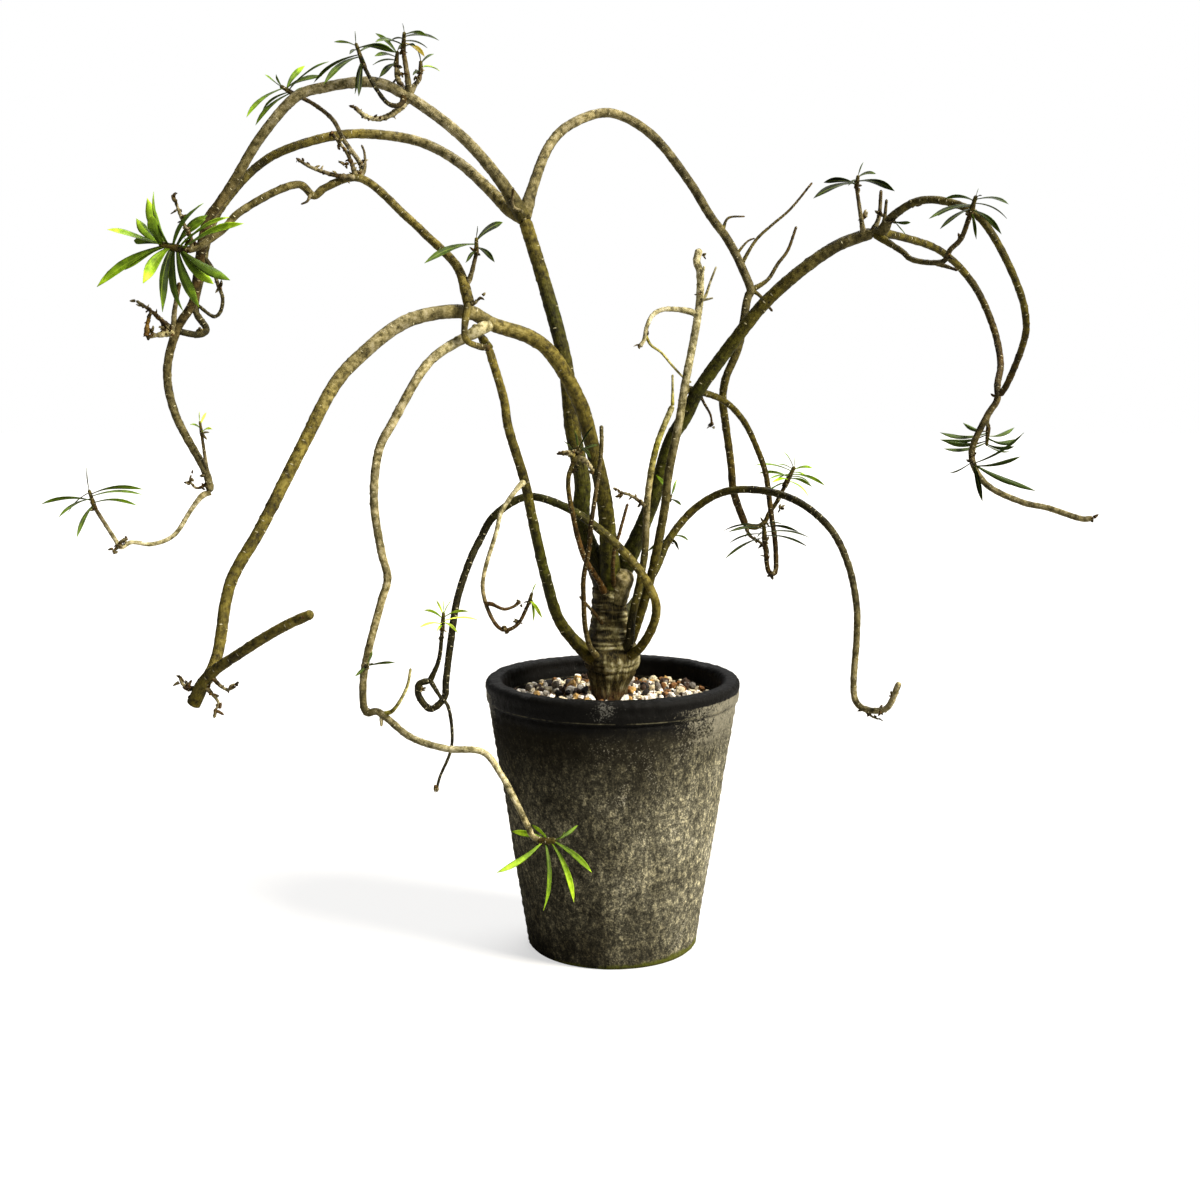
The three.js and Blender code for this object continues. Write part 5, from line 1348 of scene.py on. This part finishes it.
# A tuft has its shoot's radius, foot and top, and the tip of each blade.
TUFTS = {
    "left_head": {
        "core": 2.2, "seat": (-279, -50, 488), "top": (-296, -53, 492),
        "tips": [
            (-235, -78, 503), (-246, -72, 468), (-259, -62, 466), (-244, -78, 507), (-268, -66, 451),
            (-266, -42, 511), (-266, -48, 508), (-285, -39, 449), (-261, -74, 516), (-292, -65, 448),
            (-302, -72, 466), (-292, -75, 523), (-317, -59, 475), (-305, -42, 522), (-334, -64, 464),
            (-331, -63, 467), (-320, -83, 499), (-293, -77, 508), (-313, -41, 509), (-316, -38, 495),
            (-297, -67, 501)
        ],
    },
    "left_tip": {
        "core": 1.3, "seat": (-339, -74, 322), "top": (-342, -75, 334),
        "tips": [
            (-344, -98, 305), (-306, -92, 325), (-378, -62, 323), (-355, -98, 318), (-315, -47, 328),
            (-303, -87, 335), (-359, -66, 318), (-343, -74, 348)
        ],
    },
    "top_tuft_a": {
        "core": 1.4, "seat": (-140, -6, 621), "top": (-139, -7, 633),
        "tips": [
            (-130, -22, 621), (-155, -32, 622), (-124, -24, 614), (-126, 14, 626), (-152, 11, 629),
            (-118, 14, 631), (-123, -21, 628), (-140, -8, 638)
        ],
    },
    "top_tuft_b": {
        "core": 1.3, "seat": (-130, 7, 609), "top": (-130, 8, 617),
        "tips": [
            (-134, -6, 605), (-119, 27, 613), (-122, 19, 623), (-131, -3, 622)
        ],
    },
    "top_tuft_c": {
        "core": 1.4, "seat": (-147, 11, 614), "top": (-146, 12, 624),
        "tips": [
            (-156, -10, 603), (-165, 27, 617), (-159, -8, 617), (-162, 22, 637), (-144, 22, 630)
        ],
    },
    "top_tuft_d": {
        "core": 1.4, "seat": (-165, -16, 609), "top": (-170, -18, 624),
        "tips": [
            (-167, -30, 588), (-170, -26, 590), (-162, -33, 609), (-187, -47, 593), (-201, -1, 601),
            (-151, 10, 626), (-172, -33, 614), (-141, -39, 614), (-184, -20, 624), (-170, -19, 631)
        ],
    },
    "upper_tuft": {
        "core": 1.5, "seat": (-215, 6, 594), "top": (-225, 5, 600),
        "tips": [
            (-208, 22, 601), (-239, -11, 572), (-242, 28, 586), (-190, -5, 614), (-211, 24, 616),
            (-199, 22, 609), (-243, -20, 576), (-229, 14, 609), (-232, -9, 605)
        ],
    },
    "leaner_tuft": {
        "core": 1.3, "seat": (-89, -57, 486), "top": (-89, -57, 496),
        "tips": [
            (-95, -71, 479), (-76, -77, 479), (-120, -85, 478), (-73, -35, 507), (-88, -57, 503)
        ],
    },
    "knob_tuft": {
        "core": 1.0, "seat": (-275, -42, 368), "top": (-276, -42, 377),
        "tips": [
            (-265, -54, 372), (-285, -32, 374), (-274, -31, 382), (-276, -42, 383)
        ],
    },
    "low_front": {
        "core": 1.9, "seat": (-46, -154, 121), "top": (-36, -156, 122),
        "tips": [
            (-72, -177, 108), (-44, -169, 81), (-65, -136, 122), (-52, -145, 129), (-25, -168, 86),
            (-14, -167, 105), (-23, -143, 128), (-31, -161, 129)
        ],
    },
    "knee_leaves": {
        "core": 1.1, "seat": (-157, -118, 225), "top": (-156, -124, 227),
        "tips": [
            (-163, -131, 221), (-138, -126, 229), (-154, -114, 234)
        ],
    },
    "front_tuft": {
        "core": 1.3, "seat": (-113, -74, 242), "top": (-112, -74, 253),
        "tips": [
            (-115, -92, 243), (-126, -95, 246), (-101, -93, 242), (-90, -60, 245), (-127, -55, 251),
            (-94, -91, 256), (-118, -62, 259), (-106, -84, 262), (-112, -73, 261)
        ],
    },
    "centre_tuft": {
        "core": 1.3, "seat": (-25, -48, 353), "top": (-23, -47, 361),
        "tips": [
            (-33, -53, 364), (-10, -42, 361), (-13, -47, 374), (-26, -47, 371), (-34, -40, 353),
            (-15, -59, 353)
        ],
    },
    "right_tuft": {
        "core": 1.7, "seat": (127, 63, 325), "top": (134, 64, 339),
        "tips": [
            (119, 84, 320), (111, 72, 317), (147, 83, 315), (115, 42, 329), (144, 39, 326),
            (110, 89, 332), (148, 84, 325), (114, 49, 331), (153, 36, 327), (120, 57, 330),
            (145, 78, 330), (103, 46, 341), (150, 86, 336), (121, 57, 341), (125, 56, 350), (134, 64, 347)
        ],
    },
    "hook_tuft": {
        "core": 1.6, "seat": (110, 35, 287), "top": (109, 34, 300),
        "tips": [
            (115, 50, 274), (80, 20, 276), (138, 10, 286), (86, 57, 283), (144, 50, 288), (103, 22, 291),
            (82, 15, 296), (131, 5, 297), (82, 59, 292), (121, 20, 301)
        ],
    },
    "spur_tuft": {
        "core": 1.3, "seat": (162, -20, 531), "top": (163, -20, 539),
        "tips": [
            (143, 2, 536), (131, -39, 522), (183, -46, 526), (155, -30, 531), (177, -6, 541),
            (166, -21, 547)
        ],
    },
    "low_tuft": {
        "core": 1.5, "seat": (227, -72, 509), "top": (230, -74, 521),
        "tips": [
            (229, -83, 493), (241, -99, 495), (205, -87, 499), (211, -49, 510), (197, -91, 505),
            (255, -53, 508), (215, -51, 521), (244, -102, 513), (232, -82, 520), (231, -75, 525)
        ],
    },
    "node_leaves": {
        "core": 1.0, "seat": (185, -31, 508), "top": (186, -34, 507),
        "tips": [
            (194, -46, 506), (195, -23, 500)
        ],
    },
    "drop_tuft_upper": {
        "core": 1.3, "seat": (259, -5, 370), "top": (258, -6, 358),
        "tips": [
            (246, 16, 373), (223, -19, 368), (231, 21, 361), (281, 11, 370), (272, -30, 362),
            (284, 13, 362), (233, 14, 360), (226, -17, 357), (272, -27, 359), (275, -2, 354)
        ],
    },
    "drop_tuft_lower": {
        "core": 1.2, "seat": (244, -25, 349), "top": (245, -32, 346),
        "tips": [
            (232, -12, 340), (248, -43, 323), (270, -59, 370), (284, -41, 330), (271, -55, 334),
            (270, -53, 354)
        ],
    },
    "curl_leaves": {
        "core": 1.1, "seat": (-55, -85, 261), "top": (-53, -86, 268),
        "tips": [
            (-46, -100, 253), (-53, -76, 247), (-50, -93, 275)
        ],
    },
    "hidden_leaves": {
        "core": 1.0, "seat": (39, -6, 321), "top": (41, -2, 324),
        "tips": [
            (47, -17, 318), (30, -2, 338), (45, 7, 334)
        ],
    },
    "hidden_leaves_low": {
        "core": 1.0, "seat": (43, 45, 287), "top": (45, 46, 290),
        "tips": [
            (48, 32, 281), (26, 57, 277), (56, 57, 285)
        ],
    },
}
LEAF_WIDTH = 4.6
LEAF_WIDTH_SHARE = 0.15
LEAF_THICKNESS = 0.7
LEAF_BOW = 0.07
LEAF_FOLD = 0.22
LEAF_TILT = (0.4, 1.1)
LEAF_BLOTCH = 6
LEAF_SIDES = 8
LEAF_ROWS = 9
LEAF_OUTLINE = (0.28, 0.4, 0.58, 0.76, 0.9, 0.98, 1.0, 0.86, 0.52, 0.04)
LEAF_MARKS = ("across", "reach", "bright", "under")
LEAF_SPREAD = (0.86, 1.0)
SHOOT_START, SHOOT_SPAN, SHOOT_TAPER = 0.15, 0.8, 0.8
SHOOT_REMAINS = 4
LEAF_SEED, SHOOT_SEED = 500, 300
BROAD_LEAVES = {
    "left_head": 1.7, "low_front": 0.95, "upper_tuft": 0.9, "right_tuft": 0.6, "hook_tuft": 0.5,
    "front_tuft": 0.62, "top_tuft_d": 0.95,
    "left_tip": 0.66, "low_tuft": 0.75, "drop_tuft_upper": 0.85, "drop_tuft_lower": 0.85,
}
# How light each tuft's leaves are coloured: partly their own tone, partly painted light and shade, darker
# for tufts that stand in shade and lighter for brightly lit ones.
LEAF_TONE_LIGHT_AND_SHADE = {
    "low_front": 0.6, "left_head": 0.42, "front_tuft": 0.95, "curl_leaves": 0.75, "knob_tuft": 0.9,
    "left_tip": 0.2, "right_tuft": 0.6, "upper_tuft": 0.3, "hidden_leaves": 0.3, "hidden_leaves_low": 0.2,
    "hook_tuft": 0.0,
}
PLAIN_LEAF_TONE_AND_SHADE = 0.04
BRIGHTNESS_SPREAD = (-0.26, 0.2)
GOLDEN = 2
SINGLE_BLADES = {("top_tuft_b", 1): 0.75, ("top_tuft_a", 2): GOLDEN}
LEAF_LIME = ("low_front", "left_head", "front_tuft", "curl_leaves")


def side_of(forward):
    """A blade lies flat across its direction, and one that hangs straight shows its face to the front."""
    if abs(forward.z) > 0.9:
        return (Vector((1, 0, 0)) - forward * forward.x).normalized()
    return Vector((-forward.y, forward.x, 0)).normalized()


def grow_leaf(root, tip, shoot, bright, broad, rng):
    """One blade from its root on the shoot to its tip, arched away from the shoot's own direction."""
    along = tip - root
    forward = along.normalized()
    lift = (shoot - forward * shoot.dot(forward)) * (2 * LEAF_BOW * along.length)
    middle = root + along / 2 + lift
    side = side_of(forward)
    width = min(LEAF_WIDTH, LEAF_WIDTH_SHARE * along.length) * broad * rng.uniform(*LEAF_SPREAD) / 2
    roll = math.copysign(rng.uniform(*LEAF_TILT), forward.x)
    bm = marked(*LEAF_MARKS)
    layers = [bm.verts.layers.float[name] for name in LEAF_MARKS]
    round_bar(bm, LEAF_SIDES, LEAF_ROWS)
    for v in bm.verts:
        row = round(v.co.z + LEAF_ROWS / 2)
        share = row / LEAF_ROWS
        place = root * (1 - share) ** 2 + middle * 2 * share * (1 - share) + tip * share ** 2
        tangent = ((middle - root) * (1 - share) + (tip - middle) * share).normalized()
        upper = side.cross(tangent).normalized()
        if upper.dot(shoot) < 0:
            upper = -upper
        flat = (side - tangent * side.dot(tangent)).normalized()
        turn = Matrix.Rotation(roll * (0.4 + share), 3, tangent)
        half = width * LEAF_OUTLINE[row]
        thick = LEAF_THICKNESS / 2 * (1 - 0.55 * share) * (1 - abs(v.co.x) * 0.7)
        rise = LEAF_FOLD * abs(v.co.x) * half * 2 + thick * v.co.y
        for layer, value in zip(layers, (abs(v.co.x), share, bright, 1 if v.co.y < -0.3 else 0)):
            v[layer] = value
        v.co = (place + turn @ flat * (v.co.x * half) + turn @ upper * rise) * MM
    return bm


def leaf_skin():
    """A living leaf's waxy skin: deep to lime green by each tuft's own tone and painted light and shade,
    paler below and along the midrib, bright at its tip. A blade that is about to fall is golden."""
    finish, tree, shader = new_finish("waxy_leaf")
    place = add(tree, "TexCoord").outputs["Object"]
    bright, reach, across, under = [add(tree, "Attribute", attribute_name=name).outputs["Fac"]
                                    for name in ("bright", "reach", "across", "under")]
    uneven = add(tree, "TexNoise", {
        "Vector": place, "Scale": per_metre(LEAF_BLOTCH), "Detail": 5, "Roughness": 0.6})
    spot = add(tree, "MapRange", {0: uneven, 1: 0.35, 2: 0.65, 3: -0.12, 4: 0.12})
    # bright carries each tuft's lightness, partly painted light and shade.
    light = add(tree, "Math", {0: spot, 1: bright}, operation="ADD")
    tip = add(tree, "MapRange", {0: reach, 1: 0.45, 2: 1, 3: 0, 4: 0.34})
    lit = add(tree, "Math", {0: light, 1: tip}, operation="ADD")
    fresh = add(tree, "ValToRGB", {0: lit}, stops=[
        (0.0, "#0f1502"), (0.22, "#222f04"), (0.45, "#3f540a"), (0.68, "#6a8911"), (0.88, "#a2c424"),
        (1.0, "#d0e84a")])
    sere = add(tree, "MapRange", {0: bright, 1: GOLDEN - 0.6, 2: GOLDEN - 0.4, 3: 0, 4: 0.9})
    green = add(tree, "Mix", {0: sere, 6: fresh, 7: linear("#75540f")}, data_type="RGBA")
    paler = add(tree, "Mix", {0: 0.35, 6: green, 7: linear("#b4cc48")}, data_type="RGBA")
    rib = add(tree, "MapRange", {0: across, 1: 0.03, 2: 0.16, 3: 0.5, 4: 0})
    ribbed = add(tree, "Mix", {0: rib, 6: green, 7: paler}, data_type="RGBA")
    margin = add(tree, "MapRange", {0: across, 1: 0.82, 2: 1, 3: 0, 4: 0.35})
    edged = add(tree, "Mix", {0: margin, 6: ribbed, 7: paler}, data_type="RGBA")
    matt = add(tree, "Mix", {0: 0.35, 6: green, 7: linear("#627a32")}, data_type="RGBA")
    below = add(tree, "Math", {0: under, 1: 0.7}, operation="MULTIPLY")
    both = add(tree, "Mix", {0: below, 6: edged, 7: matt}, data_type="RGBA")
    tree.links.new(both.outputs[2], shader.inputs["Base Color"])
    shader.inputs["Roughness"].default_value = 0.55
    shader.inputs["Specular IOR Level"].default_value = 0.1
    shader.inputs["Subsurface Weight"].default_value = 0.08
    shader.inputs["Subsurface Radius"].default_value = (0.0012, 0.0016, 0.0005)
    bump = add(tree, "Bump", {"Height": uneven, "Strength": 0.25, "Distance": 0.0008})
    tree.links.new(bump.outputs[0], shader.inputs["Normal"])
    return finish


leaf_finish = leaf_skin()
shoots = new_bark()
for number, (name, tuft) in enumerate(TUFTS.items()):
    rng = random.Random(LEAF_SEED + number)
    seat, top = Vector(tuft["seat"]), Vector(tuft["top"])
    shoot = (top - seat).normalized()
    blades = marked(*LEAF_MARKS)
    for i, tip in enumerate(tuft["tips"]):
        root = seat.lerp(top, SHOOT_START + SHOOT_SPAN * i / max(len(tuft["tips"]) - 1, 1))
        bright = LEAF_TONE_LIGHT_AND_SHADE.get(name, PLAIN_LEAF_TONE_AND_SHADE) + rng.uniform(*BRIGHTNESS_SPREAD)
        bright = SINGLE_BLADES.get((name, i), bright)
        join(blades, grow_leaf(root, Vector(tip), shoot, bright, BROAD_LEAVES.get(name, 1), rng))
    slot = "leaf_lime" if name in LEAF_LIME else "leaf_green"
    piece_of(blades, name + "_blades", leaf_finish, slot, name)
    core = tuft["core"]
    route = [seat - shoot, top]
    join(shoots, grown("twig", core, core * SHOOT_TAPER, route, ["brown", "olive"], SHOOT_SEED + number))
    withered(shoots, seat, SHOOT_REMAINS, rng)
piece_of(shoots, "leafy_shoots", bark_finish, "olive_bark", *TUFTS)


# Studio
# A white floor and air, a broad key lamp high on the right with a weak one above and behind, and the
# camera at the height and distance that the pot's rim and foot ellipses give. The floor's paper is grey
# and glows only to the lens, so it looks white and throws little light up at the plant.

FLOOR_SIZE = 14
PHOTO_PIXELS = 1200
FOCAL_PIXELS = 1655
SENSOR = 36
CAMERA_PLACE = (-0.0089, -1.1517, 0.426)
CAMERA_PITCH = 0.152
AIR_LIGHT = 0.15
PAPER_GLOW = 0.6

sheet = bmesh.new()
bmesh.ops.create_grid(sheet, x_segments=1, y_segments=1, size=FLOOR_SIZE / 2)
paper_mesh = bpy.data.meshes.new("studio_floor")
sheet.to_mesh(paper_mesh)
sheet.free()
paper = bpy.data.objects.new("studio_floor", paper_mesh)
bpy.context.scene.collection.objects.link(paper)
paper_finish, paper_tree, paper_shader = new_finish("matt_white_paper")
paper_shader.inputs["Base Color"].default_value = linear("#9c9b99")
paper_shader.inputs["Roughness"].default_value = 0.9
paper_shader.inputs["Emission Color"].default_value = linear("#ffffff")
looked_at = add(paper_tree, "LightPath").outputs["Is Camera Ray"]
glow = add(paper_tree, "Math", {0: looked_at, 1: PAPER_GLOW}, operation="MULTIPLY")
paper_tree.links.new(glow.outputs[0], paper_shader.inputs["Emission Strength"])
paper_mesh.materials.append(paper_finish)

world = bpy.data.worlds.new("studio_air")
bpy.context.scene.world = world
bpy.context.scene.view_settings.view_transform = "Standard"
world.use_nodes = True
air_tree = world.node_tree
air = air_tree.nodes["Background"]
seen = add(air_tree, "LightPath").outputs["Is Camera Ray"]
strength = add(air_tree, "MapRange", {0: seen, 3: AIR_LIGHT, 4: 1})
air_tree.links.new(strength.outputs[0], air.inputs["Strength"])
air.inputs["Color"].default_value = linear("#ffffff")


def far_light(name, way, power, softness, tint):
    """A broad, far lamp that shines along a way, as evenly on the floor as on the plant."""
    lamp = bpy.data.lights.new(name, "SUN")
    lamp.energy = power
    lamp.angle = softness
    lamp.color = linear(tint)[:3]
    holder = bpy.data.objects.new(name, lamp)
    holder.rotation_euler = Vector(way).to_track_quat("-Z", "Y").to_euler()
    bpy.context.scene.collection.objects.link(holder)


far_light("key_light", (-1.5, 0.7, -1.2), 8.6, 0.4, "#fffaf0")
far_light("top_light", (-0.2, -0.8, -1.2), 2.8, 0.8, "#ffffff")

lens = bpy.data.cameras.new("camera")
lens.sensor_width = SENSOR
lens.lens = FOCAL_PIXELS / PHOTO_PIXELS * SENSOR
lens.clip_start = 0.05
camera = bpy.data.objects.new("camera", lens)
camera.location = CAMERA_PLACE
camera.rotation_euler = (math.pi / 2 - CAMERA_PITCH, 0, 0)
bpy.context.scene.collection.objects.link(camera)
bpy.context.scene.camera = camera
